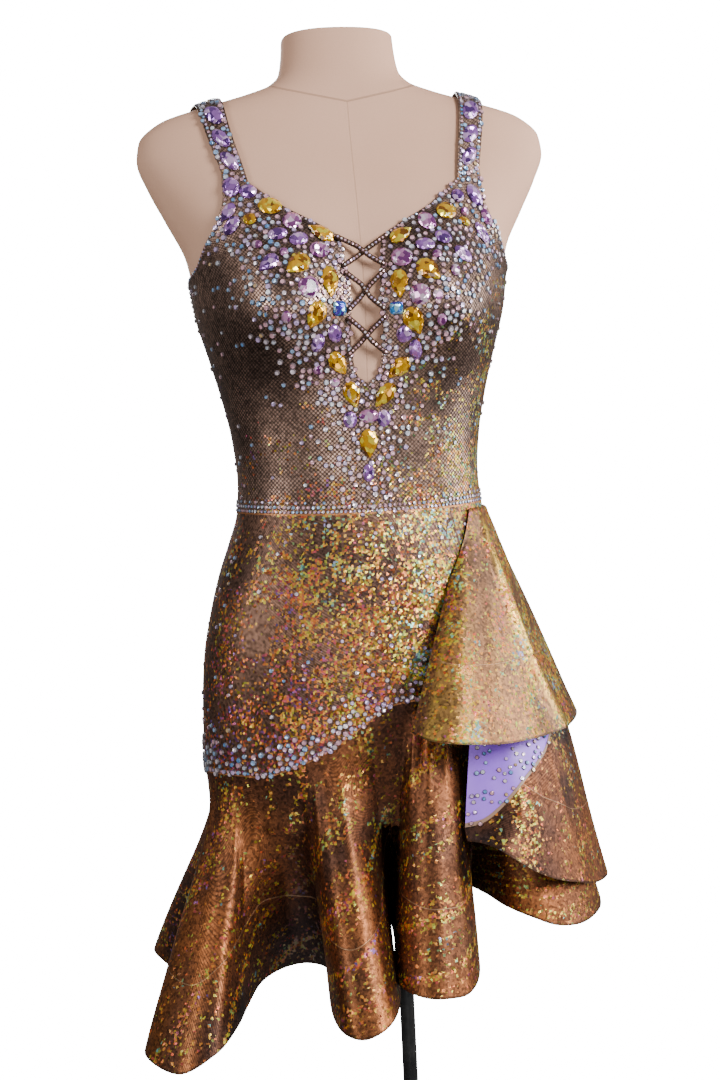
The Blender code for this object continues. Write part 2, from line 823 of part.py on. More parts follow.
def spline_at(rows, position, column, closed=False):
    """A column's value between rows, on a Catmull-Rom curve; position counts rows."""
    last = len(rows) - 1
    i = min(int(position), last if closed else last - 1)
    t = position - i

    def value(index):
        if closed:
            turns, index = divmod(index, len(rows))
            return getattr(rows[index], column) + (360 * turns if column == "turn" else 0)
        return getattr(rows[min(max(index, 0), last)], column)

    a, b, c, d = (value(i + k) for k in (-1, 0, 1, 2))
    bend = 2 * a - 5 * b + 4 * c - d
    twist = 3 * b - a - 3 * c + d
    return 0.5 * (2 * b + (c - a) * t + bend * t * t + twist * t**3)


def row_at(rows, position, closed=False):
    """All of a table's columns between rows."""
    return [spline_at(rows, position, column, closed) for column in rows[0]._fields]


def turn_towards(x, y, height):
    """The turn at which the form's level section lies in the direction of a point."""
    depth = FRONT_DEPTH(height) if y < 0 else BACK_DEPTH(height)
    across = power(x / HALF_WIDTH(height), SQUARENESS / 2)
    ahead = power(-y / depth, SQUARENESS / 2)
    return math.degrees(math.atan2(across, ahead))


def clear_of_form(point, out):
    """Keeps a hanging point outside the form, down to a little below its lower edge."""
    if point.z < FORM[0].height - BELOW_FORM:
        return point
    height = max(point.z, FORM[0].height)
    edge = on_form(height, turn_towards(point.x, point.y, height), out)
    reach = math.hypot(edge.x, edge.y)
    there = math.hypot(point.x, point.y)
    if there >= reach:
        return point
    return Vector((point.x * reach / there, point.y * reach / there, point.z))


def down_form(height, turn, out):
    """The direction straight down the form's surface."""
    return (on_form(height - DOWN_STEP, turn, out) - on_form(height, turn, out)).normalized()


def hanging(top, hem, hug, levels, down, out):
    """A column of cloth from a seam to a hem that leaves the seam along the form."""
    handle = top + down * hug
    pull = blend(hem, top, HEM_PULL)
    column = []
    for t in levels:
        rest = 1 - t
        point = top * rest**3 + handle * (3 * rest * rest * t)
        point += pull * (3 * rest * t * t) + hem * t**3
        column.append(clear_of_form(point, out) if t > 0 else point)
    return column


def transpose(columns):
    return [list(row) for row in zip(*columns)]


def main_columns():
    """The main flounce's columns all round, from the wearer's right side."""
    columns = []
    for step in range(len(MAIN_FOLDS) * COLUMNS_PER_FOLD):
        position = step / COLUMNS_PER_FOLD
        turn, x, y, height, hug = row_at(MAIN_FOLDS, position, closed=True)
        before = MAIN_FOLDS[int(position)].turn
        after = MAIN_FOLDS[int(position) + 1].turn if before < MAIN_FOLDS[-1].turn else 270
        top = blend(yoke_edge_point(before), yoke_edge_point(after), position % 1)
        down = down_form(top.z, turn, FORM_GAP)
        out = FORM_GAP + SEAM_GAP
        columns.append(hanging(top, Vector((x, y, height)), hug, MAIN_LEVELS, down, out))
    return columns


def make_main_flounce(collection):
    columns = main_columns()
    split = next(i for i, row in enumerate(MAIN_FOLDS) if row.turn >= 90) * COLUMNS_PER_FOLD
    back = [*columns[split:], columns[0]]
    for name, part in (("flounce_front", columns[: split + 1]), ("flounce_back", back)):
        grid = pull_in(transpose(part), ("first row", "first column", "last column"))
        cloth(name, grid[::-1], COPPER, collection)


def petal_columns():
    """The petal's columns from its seam on the yoke to its rounded edge."""
    out = FORM_GAP + CLOTH + LAYER_GAP
    columns = []
    for step in range((len(PETAL_ROWS) - 1) * COLUMNS_PER_FOLD + 1):
        turn, height, x, y, edge_height = row_at(PETAL_ROWS, step / COLUMNS_PER_FOLD)
        top = on_form(height, turn, out)
        edge = Vector((x, y, edge_height))
        down = down_form(height, turn, out)
        columns.append(hanging(top, edge, PETAL_HUG, PETAL_LEVELS, down, out + CLOTH))
    return columns


def make_petal(collection):
    """The petal and the flounce on its edge, which leaves the edge at the petal's own slope."""
    columns = petal_columns()
    grid = pull_in(transpose(columns), ("last row",), 2 * SEAM_GAP)
    cloth("petal", grid[::-1], VIOLET, collection)
    edge = [column[-1] for column in columns]
    slopes = [(column[-1] - column[-2]).normalized() for column in columns]
    hems = []
    for step, (top, slope) in enumerate(zip(edge, slopes)):
        hem = Vector(row_at(PETAL_FLOUNCE_HEMS, step / COLUMNS_PER_FOLD))
        hug = (hem - top).length * PETAL_FLOUNCE_HUG
        hems.append(hanging(top, hem, hug, PETAL_FLOUNCE_LEVELS, slope, 0))
    grid = pull_in(transpose(hems), ("first row",))
    cloth("petal_flounce", grid[::-1], COPPER, collection)


def make_cape(collection):
    """The cape stands off the hip at once, so it leaves its seam straight towards its hem."""
    out = FORM_GAP + CLOTH + LAYER_GAP
    columns = []
    for step in range((len(CAPE_FOLDS) - 1) * COLUMNS_PER_FOLD + 1):
        turn, x, y, height = row_at(CAPE_FOLDS, step / COLUMNS_PER_FOLD)
        top = on_form(waist_height(turn) - CAPE_DROP, turn, out)
        hem = Vector((x, y, height))
        slope = (hem - top).normalized()
        columns.append(hanging(top, hem, CAPE_HUG, CAPE_LEVELS, slope, out + CAPE_CLEAR))
    cloth("cape", transpose(columns)[::-1], COPPER, collection)


def make_stand(collection):
    """The pole stands in the collar of a turned base."""
    bore = POLE_RADIUS + SEAM_GAP
    foot = COLLAR_HEIGHT - SOCKET_DEPTH
    profile = (
        (0.0, foot),
        (bore, foot),
        (bore, COLLAR_HEIGHT),
        (COLLAR_RADIUS - COLLAR_EDGE, COLLAR_HEIGHT),
        (COLLAR_RADIUS, COLLAR_HEIGHT - COLLAR_EDGE),
        (COLLAR_RADIUS + COLLAR_EDGE, BASE_THICKNESS + COLLAR_FOOT),
        (COLLAR_RADIUS + COLLAR_FLARE, BASE_THICKNESS + BASE_EDGE),
        (BASE_RADIUS - BASE_EDGE, BASE_THICKNESS),
        (BASE_RADIUS, BASE_THICKNESS - BASE_EDGE),
        (BASE_RADIUS, 0.0),
        (0.0, 0.0),
    )
    mesh = bpy.data.meshes.new("base")
    points = [(x * MM, 0, z * MM) for x, z in profile]
    mesh.from_pydata(points, [(i, i + 1) for i in range(len(points) - 1)], [])
    mesh.materials.append(material("base", BLACK))
    base = bpy.data.objects.new("base", mesh)
    collection.objects.link(base)
    turned = base.modifiers.new("Turned", "SCREW")
    turned.steps = turned.render_steps = BASE_SIDES
    turned.use_merge_vertices = True
    turned.merge_threshold = MERGE
    top = WAIST_HEIGHT + FORM_RINGS[0] - SEAM_GAP
    bottom = foot + SEAM_GAP
    bpy.ops.mesh.primitive_cylinder_add(
        vertices=POLE_SIDES,
        radius=POLE_RADIUS * MM,
        depth=(top - bottom) * MM,
        location=(0, 0, (top + bottom) / 2 * MM),
    )
    pole = bpy.context.object
    pole.name = pole.data.name = "pole"
    pole.data.materials.append(material("pole", BLACK))
    pole.data.shade_smooth()
    pole.data.set_sharp_from_angle(angle=math.radians(SHARP_ANGLE))
    for holder in list(pole.users_collection):
        holder.objects.unlink(pole)
    collection.objects.link(pole)


def main():
    for obj in list(bpy.data.objects):
        bpy.data.objects.remove(obj)
    collections = []
    for name in ("dance_dress", "cutters"):
        collection = bpy.data.collections.new(name)
        bpy.context.scene.collection.children.link(collection)
        collections.append(collection)
    dress, cutters = collections
    make_form(dress)
    make_bodice(dress, cutters)
    make_straps(dress, cutters)
    make_lacing(dress)
    make_yoke(dress)
    make_main_flounce(dress)
    make_petal(dress)
    make_cape(dress)
    make_stand(dress)


if __name__ == "__main__":
    main()
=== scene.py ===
"""Dresses the solids of a salsa dance dress on its form: fine cloth, stones, crystals and a studio.

Shapes are worked out in millimetres from the middle of the waist seam: x to the wearer's left, y
to the back, and heights above the seam. A turn is in degrees from the centre front round to the
wearer's left side (90), the centre back (180) and the right side (-90).
"""

import math
from collections import namedtuple

import bmesh
import bpy
import numpy as np
from bpy.props import FloatProperty, FloatVectorProperty, IntProperty, PointerProperty
from mathutils import Matrix, Vector, noise


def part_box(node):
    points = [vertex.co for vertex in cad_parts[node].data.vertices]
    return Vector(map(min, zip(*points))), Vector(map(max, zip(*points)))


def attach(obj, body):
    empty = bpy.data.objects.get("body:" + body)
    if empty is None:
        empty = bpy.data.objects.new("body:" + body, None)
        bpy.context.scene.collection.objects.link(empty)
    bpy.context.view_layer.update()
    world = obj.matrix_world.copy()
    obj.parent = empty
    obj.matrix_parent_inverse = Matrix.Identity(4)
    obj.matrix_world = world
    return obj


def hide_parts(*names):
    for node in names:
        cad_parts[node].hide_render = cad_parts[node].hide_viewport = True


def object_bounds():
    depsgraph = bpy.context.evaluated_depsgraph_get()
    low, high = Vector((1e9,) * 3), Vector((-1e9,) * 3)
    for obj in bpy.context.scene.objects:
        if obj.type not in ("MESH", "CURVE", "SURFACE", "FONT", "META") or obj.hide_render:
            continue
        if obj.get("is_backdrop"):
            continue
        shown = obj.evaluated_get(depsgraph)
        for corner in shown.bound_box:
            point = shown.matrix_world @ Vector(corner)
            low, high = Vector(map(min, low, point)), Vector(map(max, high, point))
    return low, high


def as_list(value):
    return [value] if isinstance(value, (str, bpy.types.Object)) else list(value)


bl_info = {
    "name": "Salsa Dance Dress",
    "version": (1, 0, 0),
    "blender": (4, 5, 0),
    "location": "3D View > Sidebar > Dance Dress",
    "description": "Makes the cloth, stones, crystals and studio of a dance dress on its form",
    "category": "Object",
}

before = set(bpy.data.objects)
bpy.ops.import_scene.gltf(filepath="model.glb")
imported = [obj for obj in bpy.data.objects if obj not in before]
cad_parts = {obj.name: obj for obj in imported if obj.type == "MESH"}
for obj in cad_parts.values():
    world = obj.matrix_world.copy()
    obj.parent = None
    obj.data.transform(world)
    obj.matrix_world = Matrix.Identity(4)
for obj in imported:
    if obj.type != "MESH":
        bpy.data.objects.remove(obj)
CAD_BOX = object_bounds()

MM = 0.001
FORM_TOP = 462.0
FORM_LOW, FORM_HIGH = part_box("form_torso")
ORIGIN = Vector(((FORM_LOW.x + FORM_HIGH.x) / 2, 0, FORM_HIGH.z - FORM_TOP * MM))


def table(columns, *rows):
    """Rows of values under named columns."""
    row_type = namedtuple("Row", columns)
    return [row_type(*row) for row in rows]


# The form's level sections, each a rounded oval with its own depth to the front and to the back.
FORM = table(
    "height half_width front back",
    (-280, 157, 90, 106),
    (-242, 163, 94, 112),
    (-190, 162, 97, 117),
    (-140, 158, 98, 116),
    (-100, 150, 96, 110),
    (-60, 139, 92, 99),
    (-30, 128, 88, 88),
    (0, 118.5, 84, 79),
    (33, 116, 85, 77),
    (73, 119.5, 89, 80),
    (113, 127.5, 93, 86),
    (153, 138, 96, 93),
    (193, 149, 97, 99),
    (225, 154, 95, 102),
    (250, 159, 91, 103),
    (288, 177, 82, 101),
    (318, 192, 72, 94),
    (345, 201.5, 63, 84),
    (362, 199, 58, 78),
    (380, 180, 54, 74),
    (394, 137, 50, 71),
    (404, 100, 47, 68),
    (414, 72, 45, 66),
    (426, 60, 44, 65),
    (445, 56, 43, 64),
    (462, 54.5, 42, 63),
)
# How square the sections are, and the round of the bust on each side.
SQUARENESS = 2.3
BUST = table("side height rise width above below", (78, 190, 36, 40, 52, 34))[0]
BUST_FADE = 1.6
# How far to each side the form is sampled for the direction in which its surface faces.
PROBE = 1.5
# The form's rings: seven round its lower edge, one at FIRST_RING, closer ones from the shoulder.
FORM_SIDES, BOTTOM_RINGS, FIRST_RING = 120, 7, 20
FORM_RING_STEP, SHOULDER_RING_STEP, SHOULDER_HEIGHT = 5.0, 2.0, 340.0
BOTTOM_ROUND, TOP_CHAMFER, CHAMFER_DEPTH = 14.0, 0.8, 1.2
BELOW_FORM = 22.0

# The cloth's thickness, and how far off the form the inner faces of its layers lie.
WALL = 1.1
CLOTH_OUT, STRAP_OUT, LAYER_OUT = 2.7, 3.2, 4.7
CLOTH_FACE = CLOTH_OUT + WALL
SEAM_GAP = 0.3
WAIST_DIP = 5.0

# Half of the bodice front: each row runs from the centre line, the keyhole or the neckline out to
# the side seam or the armhole.
FRONT_ROWS = table(
    "inner_x inner_height outer_turn outer_height",
    (0, -5, 90, 0),
    (0, 0, 90, 4),
    (0, 28, 90, 30),
    (0, 60, 90, 62),
    (0, 90, 90, 94),
    (0, 116, 90, 122),
    (9.5, 125, 90, 136),
    (14, 143, 90, 152),
    (16, 166, 90, 170),
    (14.5, 192, 90, 188),
    (16.5, 220, 90, 204),
    (20.5, 250, 90, 223),
    (33, 260, 72, 234),
    (46, 268, 59, 254),
    (66, 280, 48, 272),
    (86, 297, 40.5, 292),
    (99, 309, 36.5, 319),
)
KEYHOLE_ROWS = (5, 11)
FIRST_PLAIN_ROW = 2

# Half of the bodice back, from the centre back or the low neckline out to the side or armhole.
BACK_ROWS = table(
    "inner_x inner_height outer_turn outer_height",
    (0, 0, 90, 0),
    (0, 4, 90, 4),
    (0, 40, 90, 38),
    (0, 80, 90, 75),
    (0, 115, 90, 110),
    (0, 145, 90, 140),
    (0, 170, 90, 170),
    (0, 190, 90, 196),
    (36, 196, 90, 223),
    (66, 216, 103, 230),
    (84, 242, 116, 248),
    (94, 268, 129, 270),
    (99, 294, 138, 296),
)
BACK_NECK_ROW = 7

# The straps, from the bodice front over the ridge of the shoulder to the bodice back.
STRAP_EDGES = table("along inner_x outer_x", (0.3, 110, 135), (0.55, 114, 139), (0.8, 109, 134))
STRAP_PIVOT = (10.0, 320.0)
STRAP_WIDTH, STRAP_LENGTH = 25.0, 240.0
RIGHT_STRAP_SPREAD = 9.0
SHOULDER_REACH, SHOULDER_PRECISION = 200.0, 0.02

# The yoke's lower edge, where the main flounce is sewn on.
YOKE_EDGE = table(
    "turn height",
    (-180, -215),
    (-150, -240),
    (-120, -250),
    (-90, -250),
    (-56, -248),
    (-43, -249),
    (-28, -240),
    (-15, -224),
    (-5, -203),
    (3, -185),
    (14, -181),
    (30, -165),
    (50, -148),
    (70, -139),
    (90, -136),
    (120, -150),
    (150, -185),
    (180, -215),
)

# The main flounce: where each crest, valley or fold side starts on the yoke's edge, and where its
# hem is. `hug` is how far the cloth follows the form down before the fold opens.
MAIN_FOLDS = table(
    "turn x y height hug",
    (-90, -185, -10, -482, 60),
    (-85, -194, -50, -482, 60),
    (-79, -238, -100, -489, 50),
    (-71, -210, -148, -496, 50),
    (-63, -176, -150, -481, 50),
    (-57, -154, -120, -469, 55),
    (-52, -142, -90, -461, 60),
    (-45.5, -126, -60, -449, 60),
    (-39, -102, -36, -445, 60),
    (-32.5, -76, -28, -445, 60),
    (-27.5, -58, -50, -447, 60),
    (-24.5, -64, -102, -454, 60),
    (-22, -66, -150, -459, 50),
    (-19.5, -60, -184, -462, 40),
    (-17, -44, -198, -463, 40),
    (-14, -22, -190, -455, 40),
    (-10, -6, -150, -444, 55),
    (-4.5, -2, -96, -416, 70),
    (1, 2, -44, -386, 80),
    (4.5, 2, -84, -408, 70),
    (6.5, -5, -128, -430, 45),
    (9, -4, -160, -433, 30),
    (11.5, 12, -184, -436, 20),
    (14.5, 32, -189, -437, 20),
    (17.5, 54, -176, -438, 20),
    (20, 71, -142, -430, 35),
    (23, 76, -96, -404, 80),
    (27, 82, -56, -378, 110),
    (34, 94, -72, -378, 110),
    (43, 108, -102, -384, 90),
    (53, 129, -120, -392, 70),
    (63, 152, -122, -401, 60),
    (73, 180, -106, -406, 55),
    (82, 206, -72, -406, 50),
    (90, 220, -34, -405, 50),
    (97, 224, 8, -404, 50),
    (105, 206, 56, -410, 60),
    (111, 156, 66, -400, 90),
    (118, 132, 100, -404, 90),
    (125, 176, 158, -432, 60),
    (132, 142, 206, -446, 50),
    (140, 98, 196, -442, 60),
    (147, 74, 118, -420, 90),
    (154, 50, 112, -422, 90),
    (161, 62, 212, -454, 60),
    (168, 30, 240, -462, 50),
    (175, -8, 218, -460, 60),
    (182, -12, 124, -432, 80),
    (189, -36, 116, -436, 80),
    (196, -48, 204, -464, 55),
    (203, -84, 230, -472, 50),
    (210, -120, 196, -468, 55),
    (218, -106, 120, -446, 70),
    (226, -124, 98, -450, 70),
    (233, -170, 144, -460, 55),
    (240, -212, 148, -462, 50),
    (247, -227, 110, -460, 50),
    (254, -212, 70, -466, 55),
    (262, -186, 32, -478, 60),
)
# How strongly a hanging column heads for its hem, and the step down the form that starts it.
HEM_PULL, DOWN_STEP = 0.38, 8.0

# The petal hangs from the yoke over the main flounce's start: its top row and its rounded edge.
PETAL_ROWS = table(
    "turn height x y edge_height",
    (40, -66, 67, -126, -300),
    (46, -67, 83, -131, -296),
    (52, -68, 98, -132, -286),
    (58, -70, 114, -130, -272),
    (64, -77, 128, -124, -259),
    (71, -86, 141, -114, -249),
    (79, -94, 153, -101, -239),
    (86, -101, 162, -88, -226),
    (92, -107, 175, -62, -212),
    (98, -113, 183, -32, -198),
    (104, -119, 182, -2, -184),
    (110, -125, 172, 26, -170),
)
PETAL_HUG = 20.0

# The flounce on the petal's edge, in the same order; it runs out to nothing at the front.
PETAL_FLOUNCE_HEMS = table(
    "x y height",
    (68, -130, -312),
    (80, -138, -313),
    (94, -149, -318),
    (110, -153, -329),
    (129, -149, -342),
    (151, -139, -353),
    (178, -119, -363),
    (199, -93, -372),
    (221, -58, -375),
    (230, -12, -374),
    (222, 34, -366),
    (202, 76, -352),
)
PETAL_FLOUNCE_HUG = 0.3

# The short cape over them, sewn on just under the waist seam.
CAPE_FOLDS = table(
    "turn x y height",
    (49, 17, -150, -204),
    (51, 30, -172, -209),
    (54, 52, -180, -212),
    (58, 76, -174, -215),
    (62, 102, -162, -218),
    (67, 130, -142, -219),
    (73, 153, -118, -220),
    (80, 177, -88, -220),
    (87, 197, -52, -218),
    (94, 209, -14, -215),
    (102, 210, 26, -210),
    (110, 197, 62, -205),
    (118, 172, 92, -200),
)
CAPE_HUG, CAPE_DROP, CAPE_CLEAR = 30.0, 5.0, 2.0

# Soft ridges (lift above 0) and troughs in the hanging pieces. `at` and `width` count the rows of
# the piece's own fold table; `start` and `end` are shares of the way from the hem to the seam, and
# `lean` is how far the crease moves over on that way.
CREASE = "at width lift start end lean"
MAIN_CREASES = table(
    CREASE,
    (4.6, 0.35, 1.8, 0.30, 1.00, 0),
    (2.7, 0.30, -1.6, 0.45, 1.05, 0),
    (5.6, 0.30, -1.4, 0.20, 0.80, 0),
    (6.6, 0.40, 1.5, 0.35, 1.05, 0),
    (8.4, 0.30, -1.3, 0.10, 0.55, 0),
    (12.4, 0.30, 1.2, 0.30, 0.95, 0),
    (14.4, 0.35, -1.2, 0.45, 1.00, 0),
    (15.6, 0.35, 1.3, 0.05, 0.50, 0),
    (20.7, 0.30, 1.6, 0.45, 1.05, 0),
    (21.5, 0.22, -2.6, 0.55, 1.05, 0),
    (22.2, 0.25, 2.0, 0.50, 1.00, 0),
    (22.9, 0.22, -2.4, 0.60, 1.05, 0),
    (23.7, 0.28, 1.6, 0.45, 1.00, 0),
    (24.5, 0.30, -1.4, 0.10, 0.55, 0),
    (29.6, 0.35, 1.6, 0.25, 0.90, 0),
    (33.3, 0.30, -1.5, 0.15, 0.75, 0),
    (36.4, 0.30, 1.4, 0.40, 1.00, 0),
    (39.8, 0.35, -1.6, 0.30, 0.95, 0),
    (43.5, 0.40, 1.5, 0.20, 0.80, 0),
    (45.4, 0.30, -1.4, 0.50, 1.05, 0),
    (48.3, 0.35, 1.6, 0.35, 1.00, 0),
    (51.2, 0.30, -1.5, 0.10, 0.60, 0),
    (54.6, 0.40, 1.7, 0.30, 0.90, 0),
    (57.1, 0.30, -1.3, 0.45, 1.05, 0),
)
PETAL_FLOUNCE_CREASES = table(
    CREASE,
    (3.4, 0.30, 1.2, 0.30, 1.00, 0),
    (5.1, 0.28, -1.4, 0.45, 1.05, 0),
    (6.3, 0.30, 1.5, 0.35, 1.00, 0),
    (8.2, 0.35, -1.2, 0.20, 0.80, 0),
    (9.6, 0.30, 1.2, 0.30, 0.95, 0),
)
CAPE_CREASES = table(
    CREASE,
    (3.3, 0.40, -0.6, 0.10, 0.60, 0),
    (4.7, 0.45, -0.9, 0.10, 0.60, 0),
    (5.4, 1.60, 2.2, 0.05, 1.10, 0),
    (6.9, 0.34, 7.5, -0.15, 1.00, -3.4),
    (8.9, 0.45, 2.0, 0.10, 0.85, 0),
    (10.2, 0.40, -0.8, 0.15, 0.60, 0),
)

# The lacing's three crossings: heights of the upper and the lower ends.
LACE_CROSSINGS = table("top bottom", (250, 224), (217, 185), (177, 146))
LACE_RADIUS, LACE_INSET = 2.4, 3.2
UNDER_LIFT, OVER_LIFT = -1.2, 4.0
LACE_POINTS, LACE_SIDES = 25, 12
# The domed ends' rings: width and distance out, as shares of the radius.
LACE_END = ((0.92, 0.38), (0.7, 0.71), (0.38, 0.92))

# Large stones on the bodice front: place, size, turn in their own plane, cut and colour.
STONES = table(
    "x height wide tall spin cut colour",
    (-114.5, 305, 16, 19.5, 10, "oval", "violet"),
    (-99.5, 299, 16.5, 14, -10, "oval", "violet"),
    (-118.5, 281, 12, 19.5, -35, "drop", "violet"),
    (-115.5, 268, 12, 19.5, -35, "oval", "violet"),
    (-99.5, 272, 12, 12, 0, "oval", "amber"),
    (-81, 283, 22, 16.5, -15, "oval", "amber"),
    (-63, 267, 17.5, 16.5, 0, "oval", "lilac"),
    (-76.5, 254.5, 17.5, 12, 8, "oval", "violet"),
    (-59, 248.5, 17.5, 13, 15, "oval", "violet"),
    (-38, 255, 14.5, 26.5, -120, "drop", "amber"),
    (-41.5, 238, 18.5, 15.5, 0, "oval", "lilac"),
    (-62.5, 224.5, 19, 24.5, -53, "drop", "amber"),
    (-86.5, 227, 14.5, 20, -50, "drop", "violet"),
    (-34.5, 209, 17.5, 28.5, 0, "drop", "amber"),
    (-54.5, 203.5, 19, 20, 0, "oval", "lilac"),
    (-49.5, 180, 18, 25.5, -30, "drop", "amber"),
    (-27, 185.5, 13, 13, 0, "square", "azure"),
    (-94.5, 246, 9, 8, 0, "oval", "lilac"),
    (-73, 236, 8, 8, 0, "oval", "lilac"),
    (-74.5, 179.5, 8, 10, 0, "oval", "lilac"),
    (-31.5, 164, 13, 16.5, 20, "oval", "violet"),
    (-47, 156.5, 12, 16.5, -15, "oval", "violet"),
    (-27.5, 137, 16.5, 25, 32, "drop", "amber"),
    (-15, 107.5, 16.5, 26, 15, "drop", "amber"),
    (-17.5, 84.5, 13, 16, 0, "oval", "violet"),
    (-30.5, 119.5, 9.5, 9.5, 0, "oval", "lilac"),
    (-46, 132.5, 9, 9, 0, "oval", "lilac"),
    (0, 87, 19.5, 13, 0, "oval", "lilac"),
    (-1, 61.5, 18, 28, 0, "drop", "amber"),
    (-2, 34, 11.5, 17, 0, "oval", "violet"),
    (113.5, 291.5, 13.5, 23, 25, "oval", "violet"),
    (96, 290, 13, 13, 0, "oval", "violet"),
    (82.5, 274, 19.5, 17, 5, "oval", "amber"),
    (99, 264, 11.5, 7.5, -35, "oval", "amber"),
    (100.5, 274, 8.5, 8.5, 0, "oval", "lilac"),
    (123.5, 271, 10.5, 18, 25, "oval", "lilac"),
    (116.5, 254.5, 10.5, 23, 30, "oval", "violet"),
    (62.5, 263.5, 15, 19.5, 35, "oval", "lilac"),
    (75.5, 247, 16.5, 13, -25, "oval", "violet"),
    (58, 240, 17.5, 12, -5, "oval", "violet"),
    (37.5, 251, 15, 23, 120, "drop", "amber"),
    (36.5, 229.5, 19.5, 17.5, 0, "oval", "lilac"),
    (58.5, 215.5, 19, 24.5, 45, "drop", "amber"),
    (92, 231, 12, 19.5, 50, "oval", "violet"),
    (32.5, 205.5, 16.5, 26.5, 0, "drop", "amber"),
    (49.5, 194.5, 18.5, 18.5, 0, "oval", "lilac"),
    (29, 184, 12, 11, 0, "square", "azure"),
    (44, 172.5, 18.5, 25, 25, "drop", "amber"),
    (81.5, 215, 8.5, 11, 0, "oval", "lilac"),
    (64.5, 193.5, 9, 10, 0, "oval", "lilac"),
    (35, 161.5, 14, 15.5, -15, "oval", "violet"),
    (45, 147.5, 12, 18.5, 5, "oval", "violet"),
    (29.5, 131, 16.5, 26, -48, "drop", "amber"),
    (15.5, 106, 16, 28, -40, "drop", "amber"),
    (14, 84.5, 13, 16, 0, "oval", "violet"),
    (67.5, 173, 8.5, 10, 0, "oval", "lilac"),
    (67, 230, 8.5, 7.5, 0, "oval", "lilac"),
)
STRAP_STONE = STONES[0]._replace(wide=17, tall=17, spin=0)
STRAP_STONES = (0.065, 0.155, 0.245)
STONE_SIDES = 12
STONE_COLOURS = ("amber", "lilac", "violet", "azure")
# A stone's rings as a share of its outline and a height above the cloth: its girdle from the
# setting up, the shoulder between the upper facets, and the table.
STONE_GIRDLE = ((0.96, -0.8), (0.96, 0.5), (1.0, 0.6), (1.0, 1.2))
STONE_SHOULDER, STONE_TABLE = (0.86, 2.5), (0.56, 3.6)
DROP_TAPER, SQUARE_CORNERS = 0.67, 0.5

# How finely the sheets are laid out: points between two rows of the bodice's tables, or between
# two folds, and points in all.
FINE_PER_ROW, FINE_PER_FOLD = 6, 8
FRONT_FINE_ROWS, FRONT_FINE_COLUMNS = 97, 56
BACK_FINE_ROWS, BACK_FINE_COLUMNS = 73, 48
STRAP_FINE_ROWS, STRAP_FINE_COLUMNS = 61, 9
YOKE_FINE_ROWS, YOKE_FINE_COLUMNS = 61, 121
MAIN_FINE_ROWS, PETAL_FINE_ROWS, PETAL_FLOUNCE_FINE_ROWS, CAPE_FINE_ROWS = 49, 37, 33, 49
# How far inside an edge a row of crystals lies.
EDGE_INSET = 3.0
# How quickly a sheet comes free of its seam, and the distance in metres at which points merge.
HELD_AT_SEAM, MERGED = 8.0, 0.00003
# A hollow or a crest is measured over this many points to each side; its full depth or height.
# The foil's finish paints shade into the hollows, darker the deeper they lie.
HOLLOW_REACH, HOLLOW_DEPTH = 32, 42.0
# The foil's finish paints a highlight onto the crests.
CREST_REACH, CREST_HEIGHT = 4, 2.2
RIPPLE_LIFT, RIPPLE_SIZE, RIPPLE_SHIFT = 0.8, 70.0, (7.3, 3.1, 5.7)

# From what angle an edge stays sharp, in degrees.
CLOTH_SHARP, FORM_SHARP, STAND_SHARP = 60, 50, 30
POLE_EDGE, POLE_SIDES, BASE_SIDES = 0.6, 48, 120

# The stand's base: radii and heights above the floor, from its foot up to the bore for the pole.
BASE_PROFILE = (
    (158.8, 0.0),
    (160.0, 1.2),
    (160.0, 3.6),
    (159.3, 5.2),
    (157.5, 6.0),
    (32.0, 8.4),
    (26.0, 9.8),
    (21.8, 12.0),
    (20.0, 15.0),
    (18.0, 40.0),
    (17.4, 41.4),
    (16.0, 42.0),
    (8.3, 42.0),
    (7.8, 41.5),
    (7.8, 12.0),
)


# Curves and the form.


class Curve:
    """A smooth curve through a table's points that never overshoots between them."""

    def __init__(self, places, values):
        self.x = np.array(places, float)
        self.y = np.array(values, float)
        gaps = np.diff(self.x)
        rises = np.diff(self.y) / gaps
        slopes = [rises[0]]
        for i in range(1, len(rises)):
            if rises[i - 1] * rises[i] <= 0:
                slopes.append(0.0)
                continue
            before = 2 * gaps[i] + gaps[i - 1]
            after = gaps[i] + 2 * gaps[i - 1]
            slopes.append((before + after) / (before / rises[i - 1] + after / rises[i]))
        self.slopes = np.array([*slopes, rises[-1]])

    def __call__(self, x):
        x = np.clip(x, self.x[0], self.x[-1])
        i = np.clip(np.searchsorted(self.x, x, "right") - 1, 0, len(self.x) - 2)
        step = self.x[i + 1] - self.x[i]
        t = (x - self.x[i]) / step
        rest = 1 - t
        return (
            self.y[i] * (1 + 2 * t) * rest * rest
            + self.slopes[i] * step * t * rest * rest
            + self.y[i + 1] * t * t * (3 - 2 * t)
            - self.slopes[i + 1] * step * t * t * rest
        )


def column_curve(rows, key, column):
    return Curve([getattr(row, key) for row in rows], [getattr(row, column) for row in rows])


HALF_WIDTH = column_curve(FORM, "height", "half_width")
FRONT_DEPTH = column_curve(FORM, "height", "front")
BACK_DEPTH = column_curve(FORM, "height", "back")
YOKE_EDGE_HEIGHT = column_curve(YOKE_EDGE, "turn", "height")


def power(value, exponent):
    return np.sign(value) * np.abs(value) ** exponent


def points_of(x, y, z):
    """Points, along a last axis, from their three coordinates."""
    return np.stack(np.broadcast_arrays(x, y, z), axis=-1)


def unit(vectors):
    """The vectors' directions, at a length of one."""
    return vectors / np.maximum(np.linalg.norm(vectors, axis=-1, keepdims=True), 1e-9)


